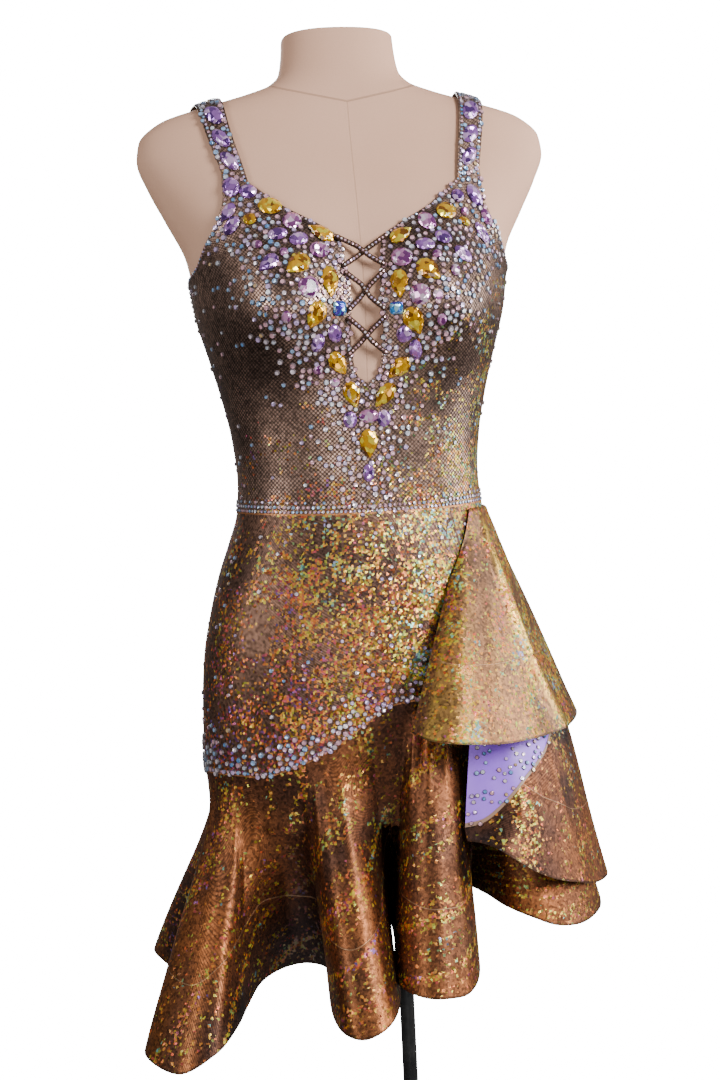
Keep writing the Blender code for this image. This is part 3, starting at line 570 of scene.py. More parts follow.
def surface(height, turn):
    """The form's surface at heights and turns."""
    height, turn = np.broadcast_arrays(np.asarray(height, float), np.asarray(turn, float))
    angle = np.radians(turn)
    ahead = np.cos(angle)
    x = HALF_WIDTH(height) * power(np.sin(angle), 2 / SQUARENESS)
    depth = np.where(ahead > 0, FRONT_DEPTH(height), BACK_DEPTH(height))
    y = -depth * power(ahead, 2 / SQUARENESS)
    reach = np.where(height > BUST.height, BUST.above, BUST.below)
    across = (np.abs(x) - BUST.side) / BUST.width
    up = (height - BUST.height) / reach
    fade = np.clip(ahead * BUST_FADE, 0.0, 1.0)
    y = y - BUST.rise * np.exp(-(across * across + up * up) / 2) * fade
    return points_of(x, y, height)


def on_form(height, turn, out):
    """Points `out` from the form's surface, along the surface's normal."""
    height, turn = np.asarray(height, float), np.asarray(turn, float)
    around = surface(height, turn + PROBE) - surface(height, turn - PROBE)
    upward = surface(height + PROBE, turn) - surface(height - PROBE, turn)
    return surface(height, turn) + unit(np.cross(around, upward)) * out


def turn_of(x, height):
    """The turn of the front surface's point at x."""
    share = np.minimum(np.abs(x) / HALF_WIDTH(height), 1.0)
    return np.degrees(np.sign(x) * np.arcsin(share ** (SQUARENESS / 2)))


def inside_form(points):
    """Whether each point lies inside the form."""
    x, y, height = points[..., 0], points[..., 1], points[..., 2]
    turn = turn_of(x, height)
    front, back = surface(height, turn)[..., 1], surface(height, 180 - turn)[..., 1]
    beside = np.abs(x) < HALF_WIDTH(height)
    return beside & (height < FORM[-1].height) & (y > front) & (y < back)


def over_shoulder(x, angle, out):
    """The form's surface seen from a line through the shoulders: angle 0 is up, 90 is forward."""
    tilt = np.radians(angle)
    x, tilt = np.broadcast_arrays(np.asarray(x, float), tilt)
    direction = points_of(0.0 * x, -np.sin(tilt), np.cos(tilt))
    pivot = points_of(x, *STRAP_PIVOT)
    near, far = np.zeros(x.shape), np.full(x.shape, SHOULDER_REACH)
    while (far - near).max() > SHOULDER_PRECISION:
        middle = (near + far) / 2
        within = inside_form(pivot + direction * middle[..., None])
        near, far = np.where(within, middle, near), np.where(within, far, middle)
    return pivot + direction * (near + out)[..., None]


def shoulder_angle(points):
    """The angle at which `over_shoulder` sees points."""
    back, up = STRAP_PIVOT
    return np.degrees(np.arctan2(-(points[..., 1] - back), points[..., 2] - up))


def waist_height(turn):
    """The waist seam dips a little at the centre front."""
    return -WAIST_DIP * np.maximum(np.cos(np.radians(turn)), 0.0) ** 2


def blend(a, b, share):
    return a + (b - a) * share


def smooth(value):
    value = np.clip(value, 0.0, 1.0)
    return value * value * (3 - 2 * value)


def steps(count, start=0.0, end=1.0):
    return np.linspace(start, end, count)


# Sheets of cloth.


class Cloth:
    """A sheet as rows of points in millimetres, from its lower edge up, against the clock."""

    def __init__(self, points, halves=False):
        self.points = np.asarray(points, float)
        self.halves = halves

    def faces(self):
        """Squares between the points; two halves aren't joined over the gap between them."""
        rows, columns = self.points.shape[:2]
        faces = grid_faces(rows, columns)
        if not self.halves:
            return faces
        middle = columns // 2 - 1
        return [face for face in faces if face[0] % columns != middle]

    @property
    def normals(self):
        along = np.gradient(self.points, axis=1)
        upward = np.gradient(self.points, axis=0)
        return unit(np.cross(along, upward))

    def moved(self, out):
        """The same sheet moved out along its normals."""
        if np.ndim(out) == 2:
            out = out[..., None]
        return Cloth(self.points + self.normals * out, self.halves)

    def cut(self):
        """Where each point is on the flat cloth, metres along its row and up its column."""
        places = []
        for axis in (1, 0):
            lengths = np.linalg.norm(np.diff(self.points, axis=axis), axis=2)
            pad = [(0, 0), (1, 0)] if axis == 1 else [(1, 0), (0, 0)]
            places.append(np.pad(np.cumsum(lengths, axis=axis), pad) * MM)
        if self.halves:
            half = self.points.shape[1] // 2
            places[0] -= places[0][:, half - 1 : half + 1].mean(axis=1, keepdims=True)
        return np.stack(places, axis=-1)

    def area(self):
        """The sheet's area in square metres."""
        across, upward = np.diff(self.points, axis=1)[:-1], np.diff(self.points, axis=0)[:, :-1]
        return float(np.linalg.norm(np.cross(across, upward), axis=2).sum() * MM * MM)

    def depths(self, reach):
        """How far in each point lies from the mean of the cloth beside it, in millimetres."""
        away = np.hypot(self.points[..., 0], self.points[..., 1])
        padded = np.pad(away, [(0, 0), (reach + 1, reach)], mode="edge")
        sums = np.cumsum(padded, axis=1)
        count = 2 * reach + 1
        return (sums[:, count:] - sums[:, :-count]) / count - away

    def hollows(self):
        """How deep each point lies between the folds beside it, for painted shade; less depth counts
        near the seam.
        """
        deepest = HOLLOW_DEPTH * steps(len(self.points), 1.0, 0.2)[:, None]
        return np.clip(self.depths(HOLLOW_REACH) / deepest, 0, 1)

    def crests(self):
        """How sharply each point stands out on a ridge, from 0 to 1."""
        return np.clip(-self.depths(CREST_REACH) / CREST_HEIGHT, 0, 1)

    def line(self, side, start=0):
        """Points and normals a little inside the first or the last column, from one row up."""
        points, normals = self.points.transpose(1, 0, 2), self.normals.transpose(1, 0, 2)
        if side == "last":
            points, normals = points[::-1], normals[::-1]
        inward = unit(points[1] - points[0])
        return (points[0] + inward * EDGE_INSET)[start:], normals[0][start:]


def lifted(cloth, lift):
    """The sheet moved out, but held still at its seam."""
    below_seam = steps(len(cloth.points), 1, 0)[:, None]
    return cloth.moved(lift * smooth(below_seam * HELD_AT_SEAM))


def creased(cloth, creases):
    """Lifts soft ridges and presses soft troughs into a hanging sheet."""
    rows, columns = cloth.points.shape[:2]
    at = np.arange(columns)[None, :] / FINE_PER_FOLD
    share = steps(rows)[:, None]
    lift = np.zeros((rows, columns))
    for crease in creases:
        span = np.clip((share - crease.start) / (crease.end - crease.start), 0, 1)
        beside = at - crease.at - crease.lean * share
        lift += crease.lift * np.exp(-((beside / crease.width) ** 2)) * np.sin(np.pi * span)
    return lifted(cloth, lift)


def rippled(cloth, seed):
    """Small uneven waves, which a flat sheet never has."""
    shift = Vector([seed * part for part in RIPPLE_SHIFT])
    places = [Vector(point) / RIPPLE_SIZE + shift for row in cloth.points for point in row]
    waves = np.reshape([noise.noise(place) for place in places], cloth.points.shape[:2])
    return lifted(cloth, RIPPLE_LIFT * waves)


def mirrored(points):
    return points * np.array((-1.0, 1.0, 1.0))


def rows_at(rows, place):
    """All of a table's columns at places that count its rows."""
    return [Curve(range(len(rows)), column)(place) for column in zip(*rows)]


def panel_places(ends, share, behind=False):
    """Heights and turns between the inner and the outer ends of a bodice half's rows."""
    inner_x, inner_height, outer_turn, outer_height = ends
    inner_turn = turn_of(inner_x, inner_height)
    if behind:
        inner_turn = 180 - inner_turn
    return blend(inner_height, outer_height, share), blend(inner_turn, outer_turn, share)


def front_cloth(out):
    """The bodice front; the keyhole opens between its two middle columns."""
    place = steps(FRONT_FINE_ROWS, 0, len(FRONT_ROWS) - 1)[:, None]
    share = steps(FRONT_FINE_COLUMNS)[None, :]
    height, turn = panel_places(rows_at(FRONT_ROWS, place), share)
    first_plain = FRONT_ROWS[FIRST_PLAIN_ROW]
    plain = blend(first_plain.inner_height, first_plain.outer_height, share)
    low = blend(waist_height(turn), plain, place / FIRST_PLAIN_ROW)
    half = on_form(np.where(place < FIRST_PLAIN_ROW, low, height), turn, out)
    return Cloth(np.concatenate([mirrored(half)[:, ::-1], half], axis=1), halves=True)


def back_cloth(out):
    """The bodice back, from the wearer's left side round to the right."""
    place = steps(BACK_FINE_ROWS, 0, len(BACK_ROWS) - 1)[:, None]
    share = steps(BACK_FINE_COLUMNS, 1, 0)[None, :]
    half = on_form(*panel_places(rows_at(BACK_ROWS, place), share, behind=True), out)
    return Cloth(np.concatenate([half, mirrored(half)[:, ::-1]], axis=1), halves=True)


def strap_end(behind, share):
    """Points of the bodice's highest row, where the strap is sewn on in front or behind."""
    row = BACK_ROWS[-1] if behind else FRONT_ROWS[-1]
    return on_form(*panel_places(row, share, behind), CLOTH_OUT)


def strap_points(along, share, out, spread=0.0):
    """Points of the wearer's left strap; along 0 is its front end and 1 its back end."""
    inside = np.clip(share, 0.0, 1.0)
    angles = [shoulder_angle(strap_end(behind, inside)) for behind in (False, True)]
    places = [0.0, *(row.along for row in STRAP_EDGES), 1.0]
    edges = []
    for end, column in ((0.0, "inner_x"), (1.0, "outer_x")):
        first, last = strap_end(False, end)[0], strap_end(True, end)[0]
        edges.append(Curve(places, [first, *(getattr(row, column) for row in STRAP_EDGES), last]))
    x = blend(edges[0](along), edges[1](along), share)
    x = x + spread * np.sin(np.pi * np.clip(along, 0, 1))
    return over_shoulder(x, blend(*angles, along), out)


def strap_cloth(out, spread):
    """Rows go from the front end of the strap to its back end."""
    along, share = steps(STRAP_FINE_ROWS)[:, None], steps(STRAP_FINE_COLUMNS)[None, :]
    points = strap_points(along, share, out, spread)
    ease = smooth(np.minimum(along, 1 - along) * STRAP_FINE_ROWS / 2)[..., None]
    ends = np.where(along[..., None] < 0.5, strap_end(False, share), strap_end(True, share))
    return Cloth(blend(ends, points, ease))


def yoke_edge(turn):
    """The height of the seam between the yoke and the main flounce."""
    return YOKE_EDGE_HEIGHT((np.asarray(turn, float) + 180) % 360 - 180)


def yoke_cloth(start, end, out):
    turn = steps(YOKE_FINE_COLUMNS, start, end)[None, :]
    share = steps(YOKE_FINE_ROWS)[:, None]
    return Cloth(on_form(blend(yoke_edge(turn), waist_height(turn), share), turn, out))


def spline(rows, place, closed=False):
    """A table's columns between its rows, on a smooth curve through them; closed wraps round."""
    values = np.array(rows, float)
    if closed:
        round_once = np.array([360.0 if name == "turn" else 0.0 for name in rows[0]._fields])
        values = np.concatenate([values[-3:] - round_once, values, values[:3] + round_once])
        place = place + 3
    i = np.clip(place.astype(int), 0, len(values) - 2)
    t = (place - i)[:, None]
    a = values[np.clip(i - 1, 0, None)]
    b, c = values[i], values[i + 1]
    d = values[np.clip(i + 2, None, len(values) - 1)]
    bend, twist = 2 * a - 5 * b + 4 * c - d, 3 * b - a - 3 * c + d
    return (0.5 * (2 * b + (c - a) * t + bend * t * t + twist * t**3)).T


def turn_towards(points, height):
    """The turn at which the form's level section lies in the direction of a point."""
    depth = np.where(points[..., 1] < 0, FRONT_DEPTH(height), BACK_DEPTH(height))
    across = power(points[..., 0] / HALF_WIDTH(height), SQUARENESS / 2)
    ahead = power(-points[..., 1] / depth, SQUARENESS / 2)
    return np.degrees(np.arctan2(across, ahead))


def clear_of_form(points, out):
    """Keeps hanging points outside the form, down to a little below its lower edge."""
    height = np.maximum(points[..., 2], FORM[0].height)
    edge = on_form(height, turn_towards(points, height), out)
    reach = np.hypot(edge[..., 0], edge[..., 1])
    there = np.hypot(points[..., 0], points[..., 1])
    beside = points[..., 2] >= FORM[0].height - BELOW_FORM
    grow = np.where(beside & (there < reach), reach / there, 1.0)
    return points * points_of(grow, grow, 1.0)


def down_form(height, turn, out):
    """The direction straight down along the form's surface."""
    return unit(on_form(height - DOWN_STEP, turn, out) - on_form(height, turn, out))


def hanging(top, hem, hug, fine_rows, down, out):
    """Columns of cloth from a seam to a hem that leave the seam along `down`; rows run up."""
    hug = np.broadcast_to(hug, top.shape[:1])[:, None]
    handle = top + down * hug
    pull = blend(hem, top, HEM_PULL)
    rows = []
    for t in steps(fine_rows)[::-1]:
        rest = 1 - t
        row = top * rest**3 + handle * (3 * rest * rest * t) + pull * (3 * rest * t * t) + hem * t**3
        rows.append(clear_of_form(row, out) if t > 0 else top)
    return Cloth(rows)


def main_flounce(first, last, out):
    """Part of the main flounce, between two rows of its fold table."""
    place = steps(round((last - first) * FINE_PER_FOLD) + 1, first, last) % len(MAIN_FOLDS)
    turn, x, y, height, hug = spline(MAIN_FOLDS, place, closed=True)
    top = on_form(yoke_edge(turn), turn, out)
    down = down_form(yoke_edge(turn), turn, out)
    hem = points_of(x, y, height)
    return hanging(top, hem, hug, MAIN_FINE_ROWS, down, out + SEAM_GAP)


def folds_of(rows):
    """A fold table's columns, from its first row to its last, at every fine column of cloth."""
    return spline(rows, steps((len(rows) - 1) * FINE_PER_FOLD + 1, 0, len(rows) - 1))


def petal_cloth(out):
    turn, height, x, y, edge_height = folds_of(PETAL_ROWS)
    top = on_form(height, turn, out)
    down = down_form(height, turn, out)
    edge = points_of(x, y, edge_height)
    return hanging(top, edge, PETAL_HUG, PETAL_FINE_ROWS, down, out + WALL)


def petal_flounce_cloth(petal):
    """The flounce leaves the petal's edge at the petal's own slope."""
    edge, slope = petal.points[0], unit(petal.points[0] - petal.points[1])
    place = steps(len(edge), 0, len(PETAL_FLOUNCE_HEMS) - 1)
    hem = points_of(*spline(PETAL_FLOUNCE_HEMS, place))
    hug = np.linalg.norm(hem - edge, axis=1) * PETAL_FLOUNCE_HUG
    return hanging(edge, hem, hug, PETAL_FLOUNCE_FINE_ROWS, slope, 0.0)


def cape_cloth(out):
    turn, x, y, height = folds_of(CAPE_FOLDS)
    top = on_form(waist_height(turn) - CAPE_DROP, turn, out)
    hem = points_of(x, y, height)
    return hanging(top, hem, CAPE_HUG, CAPE_FINE_ROWS, unit(hem - top), out + CAPE_CLEAR)


# Meshes.


def scene_places(points):
    """Points in millimetres from the waist seam as places in the scene, in metres."""
    return np.asarray(points, float).reshape(-1, 3) * MM + np.array(ORIGIN)


def add_object(name, data):
    obj = bpy.data.objects.new(name, data)
    bpy.context.scene.collection.objects.link(obj)
    return obj


def add_mesh(name, places, faces=(), edges=()):
    """An object at the origin whose mesh has its places in metres."""
    mesh = bpy.data.meshes.new(name)
    mesh.from_pydata(places.tolist(), edges, faces)
    return add_object(name, mesh)


def new_object(name, points, faces=(), edges=()):
    """An object made from points in millimetres from the waist seam."""
    return add_mesh(name, scene_places(points), faces, edges)


def store(obj, name, values, kind="FLOAT", domain="POINT"):
    """Keeps a value for each point or face, which a finish or a tree reads."""
    data = obj.data.attributes.new(name, kind, domain).data
    data.foreach_set("vector" if kind == "FLOAT_VECTOR" else "value", np.ravel(values))


def joined(parts):
    """All the parts' points in one array, and their faces or edges with it in one list."""
    points, joins, first = [], [], 0
    for part, part_joins in parts:
        points.append(part.reshape(-1, 3))
        joins += [[i + first for i in join] for join in part_joins]
        first += len(points[-1])
    return np.concatenate(points), joins


def grid_faces(rows, columns, closed=False):
    """The squares between rows of points; closed joins each row's end to its start."""
    across = columns if closed else columns - 1
    r, c = np.mgrid[0 : rows - 1, 0:across]
    below, beside = r * columns, (c + 1) % columns
    corners = (below + c, below + beside, below + columns + beside, below + columns + c)
    return np.stack(corners, axis=-1).reshape(-1, 4).tolist()


def round_faces(rings, sides):
    """The sides of a round piece and a flat face at either end."""
    first, last = list(range(sides)), list(range((rings - 1) * sides, rings * sides))
    return [*grid_faces(rings, sides, closed=True), first[::-1], last]


def round_angles(sides):
    """Even angles once round, in radians."""
    return np.arange(sides) * 2 * np.pi / sides


def settle(obj):
    """Makes the result of an object's modifiers its own plain mesh."""
    graph = bpy.context.evaluated_depsgraph_get()
    mesh = bpy.data.meshes.new_from_object(obj.evaluated_get(graph), depsgraph=graph)
    obj.modifiers.clear()
    obj.data = mesh
    mesh.name = obj.name
    return obj


def shade(obj, degrees):
    """Smooth faces, and edges that stay sharp from an angle on."""
    obj.data.shade_smooth()
    obj.data.set_sharp_from_angle(angle=math.radians(degrees))


def edit_mesh(obj, edit):
    shape = bmesh.new()
    shape.from_mesh(obj.data)
    edit(shape)
    shape.to_mesh(obj.data)
    shape.free()


def add_cloth(name, cloth, looks, node, held, rests_on):
    """A shell on a sheet: its outer face, lining and edge take the three looks."""
    obj = new_object(name, cloth.points, cloth.faces())
    mesh = obj.data
    cut = cloth.cut().reshape(-1, 2)
    corners = np.empty(len(mesh.loops), np.int32)
    mesh.loops.foreach_get("vertex_index", corners)
    mesh.uv_layers.new(name="cut").data.foreach_set("uv", cut[corners].ravel())
    hung = held == "hung"
    # How much shade is painted into the hung pieces' folds.
    store(obj, "hollow", cloth.hollows() * hung)
    # How much highlight is painted onto the hung pieces' crests, which are also less rough.
    store(obj, "crest", cloth.crests() * hung)
    if cloth.halves:
        edit_mesh(obj, lambda shape: bmesh.ops.remove_doubles(shape, verts=shape.verts, dist=MERGED))
    for look in looks:
        mesh.materials.append(look)
    wall = obj.modifiers.new("Cloth", "SOLIDIFY")
    wall.thickness = WALL * MM
    wall.offset = 1.0
    wall.use_even_offset = False
    wall.material_offset = 1
    wall.material_offset_rim = 2
    settle(obj)
    shade(obj, CLOTH_SHARP)
    finish_piece(obj, node)
    cloth.area()
    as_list(rests_on)


def finish_piece(obj, node=None):
    """Every piece is in the part's one body and may replace a solid."""
    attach(obj, "root")
    if node:
        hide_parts(node)


def make_form():
    """The torso and neck, a loft of level rings with a rounded lower edge and a flat top."""
    low, top = FORM[0].height, FORM[-1].height
    heights = [low + BOTTOM_ROUND * (1 - math.cos(a)) for a in steps(BOTTOM_RINGS, 0, math.pi / 2)]
    heights += [*np.arange(low + FIRST_RING, SHOULDER_HEIGHT, FORM_RING_STEP)]
    heights += [*np.arange(SHOULDER_HEIGHT, top - SHOULDER_RING_STEP, SHOULDER_RING_STEP)]
    heights = np.array([*heights, top - CHAMFER_DEPTH, top])[:, None]
    points = surface(heights, np.arange(FORM_SIDES) * 360 / FORM_SIDES)
    lift = np.clip(BOTTOM_ROUND - (heights - low), 0, BOTTOM_ROUND)
    inset = BOTTOM_ROUND - np.sqrt(BOTTOM_ROUND**2 - lift**2)
    inset = np.where(heights == top, TOP_CHAMFER, inset)[..., None]
    points = points - unit(points * (1, 1, 0)) * inset
    obj = new_object("fitted_form", points, round_faces(len(heights), FORM_SIDES))
    shade(obj, FORM_SHARP)
    obj.data.materials.append(linen_look())
    finish_piece(obj, "form_torso")


def turned(name, profile, sides, look, node):
    """A piece turned on the pole's axis, from radii and heights above the floor."""
    angles = round_angles(sides)
    around = np.stack([np.cos(angles), np.sin(angles), 0 * angles], axis=-1)
    places = np.concatenate([around * radius * MM + (0, 0, height * MM) for radius, height in profile])
    obj = add_mesh(name, places, round_faces(len(profile), sides))
    shade(obj, STAND_SHARP)
    obj.data.materials.append(look)
    finish_piece(obj, node)


def cord_mesh(name, route):
    """A round cord along a route, with domed ends and rings square to it."""
    ahead = unit(np.gradient(route, axis=0))
    across = unit(np.cross(ahead, (0.0, 1.0, 0.0)))
    over = np.cross(across, ahead)
    angles = round_angles(LACE_SIDES)[:, None, None]
    ring = (np.cos(angles) * across + np.sin(angles) * over).transpose(1, 0, 2)
    points = route[:, None, :] + ring * LACE_RADIUS
    caps = []
    for end, sign in ((0, -1), (-1, 1)):
        rings = [ring[end] * wide + ahead[end] * sign * out for wide, out in LACE_END]
        caps.append(route[end] + np.array(rings) * LACE_RADIUS)
    points = np.concatenate([caps[0][::-1], points, caps[1]])
    obj = new_object(name, points, round_faces(len(points), LACE_SIDES))
    along = np.concatenate([[0], np.cumsum(np.linalg.norm(np.diff(points[:, 0], axis=0), axis=1))])
    store(obj, "along", np.repeat(along * MM, LACE_SIDES))
    store(obj, "turn", np.tile(np.arange(LACE_SIDES) / LACE_SIDES, len(points)))
    edit_mesh(obj, lambda shape: bmesh.ops.recalc_face_normals(shape, faces=shape.faces))
    obj.data.shade_smooth()
    return obj


KEYHOLE_EDGE = column_curve(FRONT_ROWS[KEYHOLE_ROWS[0] :], "inner_height", "inner_x")


def lace_routes():
    """Names and routes of the cords, six in three crossings."""
    seat = CLOTH_FACE + SEAM_GAP + LACE_RADIUS
    for number, crossing in enumerate(LACE_CROSSINGS, 1):
        for name, side, lift in (("under", 1, UNDER_LIFT), ("over", -1, OVER_LIFT)):
            start, end = (KEYHOLE_EDGE(height) + LACE_INSET for height in crossing)
            share = steps(LACE_POINTS)
            x = blend(side * start, -side * end, share)
            height = blend(crossing.top, crossing.bottom, share)
            rise = np.sin(np.pi * share) ** 2 * lift
            yield f"{number}_{name}", on_form(height, turn_of(x, height), seat + rise[:, None])


# Stones.


def stone_outline(stone):
    """Corners of a stone in its own plane, millimetres."""
    angle = 2 * np.pi * (np.arange(STONE_SIDES) + 0.5) / STONE_SIDES
    across, up = np.cos(angle) / 2 * stone.wide, np.sin(angle) / 2 * stone.tall
    if stone.cut == "drop":
        across = across * (1 - DROP_TAPER * np.maximum(-np.sin(angle), 0.0))
    if stone.cut == "square":
        across = power(np.cos(angle), SQUARE_CORNERS) / 2 * stone.wide
        up = power(np.sin(angle), SQUARE_CORNERS) / 2 * stone.tall
    spin = math.radians(stone.spin)
    turned_across = across * math.cos(spin) - up * math.sin(spin)
    return turned_across, across * math.sin(spin) + up * math.cos(spin)


def stone_mesh(place, stone):
    """Points and faces of a cut stone; place(across, up, out) lays it on the cloth."""
    across, up = stone_outline(stone)
    mid_across, mid_up = (across + np.roll(across, -1)) / 2, (up + np.roll(up, -1)) / 2
    rings = [place(across * wide, up * wide, out) for wide, out in STONE_GIRDLE]
    for sides, heights, (wide, out) in ((mid_across, mid_up, STONE_SHOULDER), (across, up, STONE_TABLE)):
        rings.append(place(sides * wide, heights * wide, out))
    n = STONE_SIDES
    faces = grid_faces(4, n, closed=True)
    for i in range(n):
        j = (i + 1) % n
        faces += [(3 * n + i, 3 * n + j, 4 * n + i), (4 * n + i, 3 * n + j, 4 * n + j)]
        faces += [(4 * n + i, 4 * n + j, 5 * n + j), (4 * n + i, 5 * n + j, 5 * n + i)]
    faces += [tuple(range(5 * n, 6 * n)), tuple(range(n))[::-1]]
    return np.concatenate(rings), faces


def place_on_front(x, height):
    def place(across, up, out):
        level = height + np.asarray(up, float)
        return on_form(level, turn_of(x + across, level), CLOTH_FACE + out)

    return place


def place_on_strap(along, spread):
    def place(across, up, out):
        share = 0.5 + across / STRAP_WIDTH
        return strap_points(along + up / STRAP_LENGTH, share, STRAP_OUT + WALL + out, spread)

    return place


def stone_parts():
    """Points, faces and colour of every large stone, on the front and on both straps."""
    for stone in STONES:
        points, faces = stone_mesh(place_on_front(stone.x, stone.height), stone)
        yield points, faces, stone.colour
    for along in STRAP_STONES:
        points, faces = stone_mesh(place_on_strap(along, 0.0), STRAP_STONE)
        yield points, faces, STRAP_STONE.colour
        points, faces = stone_mesh(place_on_strap(along, RIGHT_STRAP_SPREAD), STRAP_STONE)
        yield mirrored(points), [face[::-1] for face in faces], STRAP_STONE.colour


def make_stones():
    parts, colours, rims = [], [], []
    rim_faces = STONE_SIDES * (len(STONE_GIRDLE) - 1)
    for points, faces, colour in stone_parts():
        parts.append((points, faces))
        colours += [STONE_COLOURS.index(colour)] * len(faces)
        rims += [1.0] * rim_faces + [0.0] * (len(faces) - rim_faces)
    obj = new_object("set_stones", *joined(parts))
    for colour in STONE_COLOURS:
        obj.data.materials.append(stone_look(colour))
    obj.data.polygons.foreach_set("material_index", colours)
    store(obj, "rim", rims, domain="FACE")
    obj.data.shade_flat()
    finish_piece(obj)


# Finishes.

# Between these lie most of the values that a noise cloud gives.
CLOUD_SPAN = (0.3, 0.7)


class Nodes:
    """Adds nodes to a tree; each input is fed with a value or with another node's output."""

    def __init__(self, tree):
        self.tree = tree

    def add(self, kind, feeds=None, **settings):
        node = self.tree.nodes.new(kind)
        for key, value in settings.items():
            setattr(node, key, value)
        for key, value in (feeds or {}).items():
            self.feed(node, key, value)
        return node

    def feed(self, node, key, value):
        if isinstance(key, int):
            socket = node.inputs[key]
        else:
            socket = next(s for s in node.inputs if s.enabled and key in (s.name, s.identifier))
        if isinstance(value, bpy.types.NodeSocket):
            self.tree.links.new(value, socket)
        else:
            socket.default_value = value

    def math(self, operation, first, second=0.0):
        return self.add("ShaderNodeMath", {0: first, 1: second}, operation=operation).outputs[0]

    def plus(self, first, second):
        return self.math("ADD", first, second)

    def minus(self, first, second):
        return self.math("SUBTRACT", first, second)

    def times(self, first, second):
        return self.math("MULTIPLY", first, second)

    def span(self, value, low, high, to_low=0.0, to_high=1.0, kind="LINEAR"):
        """A value taken from one span to another, and held at its ends."""
        feeds = {"Value": value, "From Min": low, "From Max": high}
        feeds.update({"To Min": to_low, "To Max": to_high})
        return self.add("ShaderNodeMapRange", feeds, interpolation_type=kind).outputs["Result"]

    def spread(self, share, low, high):
        """A share between 0 and 1, taken to the span from low to high."""
        return self.span(share, 0.0, 1.0, low, high)

    def mix(self, share, first, second, kind="MIX"):
        feeds = {"Factor_Float": share, "A_Color": first, "B_Color": second}
        node = self.add("ShaderNodeMix", feeds, data_type="RGBA", blend_type=kind)
        return next(s for s in node.outputs if s.enabled)

    def blend_values(self, share, first, second):
        feeds = {"Factor_Float": share, "A_Float": first, "B_Float": second}
        return self.add("ShaderNodeMix", feeds, data_type="FLOAT").outputs[0]

    def ramp(self, value, stops, kind="LINEAR"):
        node = self.add("ShaderNodeValToRGB", {"Fac": value})
        node.color_ramp.interpolation = kind
        points = node.color_ramp.elements
        while len(points) < len(stops):
            points.new(0.5)
        for point, (position, colour) in zip(points, stops):
            point.position = position
            point.color = (*colour[:3], 1.0)
        return node.outputs["Color"]

    def vector_math(self, operation, first, second=(0, 0, 0)):
        feeds = {0: first, 1: second}
        return self.add("ShaderNodeVectorMath", feeds, operation=operation).outputs[0]

    def scaled(self, vector, share):
        feeds = {0: vector, "Scale": share}
        return self.add("ShaderNodeVectorMath", feeds, operation="SCALE").outputs[0]


class Finish(Nodes):
    """A material made of nodes, with helpers for the patterns that this dress needs."""

    def __init__(self, name, **sockets):
        self.material = bpy.data.materials.new(name)
        self.material.use_nodes = True
        super().__init__(self.material.node_tree)
        self.shader = self.tree.nodes["Principled BSDF"]
        for key, value in sockets.items():
            self.feed(self.shader, key.replace("_", " "), value)
        self.place = self.add("ShaderNodeTexCoord").outputs["Object"]

    def cut(self):
        """The place on the flat cloth: metres along it and up it."""
        uv = self.add("ShaderNodeUVMap", uv_map="cut").outputs["UV"]
        parts = self.add("ShaderNodeSeparateXYZ", {0: uv})
        return uv, parts.outputs["X"], parts.outputs["Y"]

    def axes(self):
        """Distances from the waist's middle: to the wearer's left, to the back and up."""
        outputs = self.add("ShaderNodeSeparateXYZ", {0: self.place}).outputs
        return self.minus(outputs["X"], ORIGIN.x), outputs["Y"], self.minus(outputs["Z"], ORIGIN.z)

    def attribute(self, name):
        return self.add("ShaderNodeAttribute", attribute_name=name).outputs["Fac"]

    def chances(self, cells):
        """Three even random numbers in each cell."""
        return self.add("ShaderNodeSeparateColor", {0: cells.outputs["Color"]}).outputs

    def cloud(self, scale, detail=2.0, roughness=0.5, place=None):
        feeds = {"Vector": place or self.place, "Scale": scale, "Detail": detail}
        return self.add("ShaderNodeTexNoise", {**feeds, "Roughness": roughness}).outputs[0]

    def clouded(self, cloud, low=0.0, high=1.0):
        """A cloud's usual values, taken to the span from low to high."""
        return self.span(cloud, *CLOUD_SPAN, low, high)

    def cells(self, scale, randomness=1.0, distance="CHEBYCHEV", place=None, flat=False):
        feeds = {"Vector": place or self.place, "Scale": scale, "Randomness": randomness}
        size = "2D" if flat else "3D"
        return self.add("ShaderNodeTexVoronoi", feeds, distance=distance, voronoi_dimensions=size)

    def band(self, value, centre, half):
        """1 within `half` of a value, with soft sides."""
        away = self.math("ABSOLUTE", self.minus(value, centre))
        return self.span(away, half, half * 0.5)

    def bump(self, height, depth, strength, normal=None):
        feeds = {"Height": height, "Distance": depth, "Strength": strength}
        if normal is not None:
            feeds["Normal"] = normal
        return self.add("ShaderNodeBump", feeds).outputs["Normal"]

    def tilted(self, colour, share):
        """The surface's normal, turned a little another way in each cell."""
        lean = self.vector_math("SUBTRACT", colour, (0.5, 0.5, 0.5))
        lean = self.scaled(lean, share)
        normal = self.add("ShaderNodeNewGeometry").outputs["Normal"]
        return self.vector_math("NORMALIZE", self.vector_math("ADD", normal, lean))

    def finish(self, colour, roughness, normal):
        self.feed(self.shader, "Base Color", colour)
        self.feed(self.shader, "Roughness", roughness)
        self.feed(self.shader, "Normal", normal)
        return self.material


# The colours that the foil splits the light into, in the order in which they come.
SPECTRUM = (
    (0.00, (0.24, 0.12, 0.50)),
    (0.10, (0.55, 0.07, 0.20)),
    (0.22, (0.82, 0.10, 0.02)),
    (0.36, (0.95, 0.26, 0.02)),
    (0.50, (0.98, 0.44, 0.03)),
    (0.64, (1.00, 0.70, 0.02)),
    (0.76, (0.66, 0.82, 0.08)),
    (0.87, (0.22, 0.74, 0.60)),
    (1.00, (0.52, 0.46, 0.90)),
)
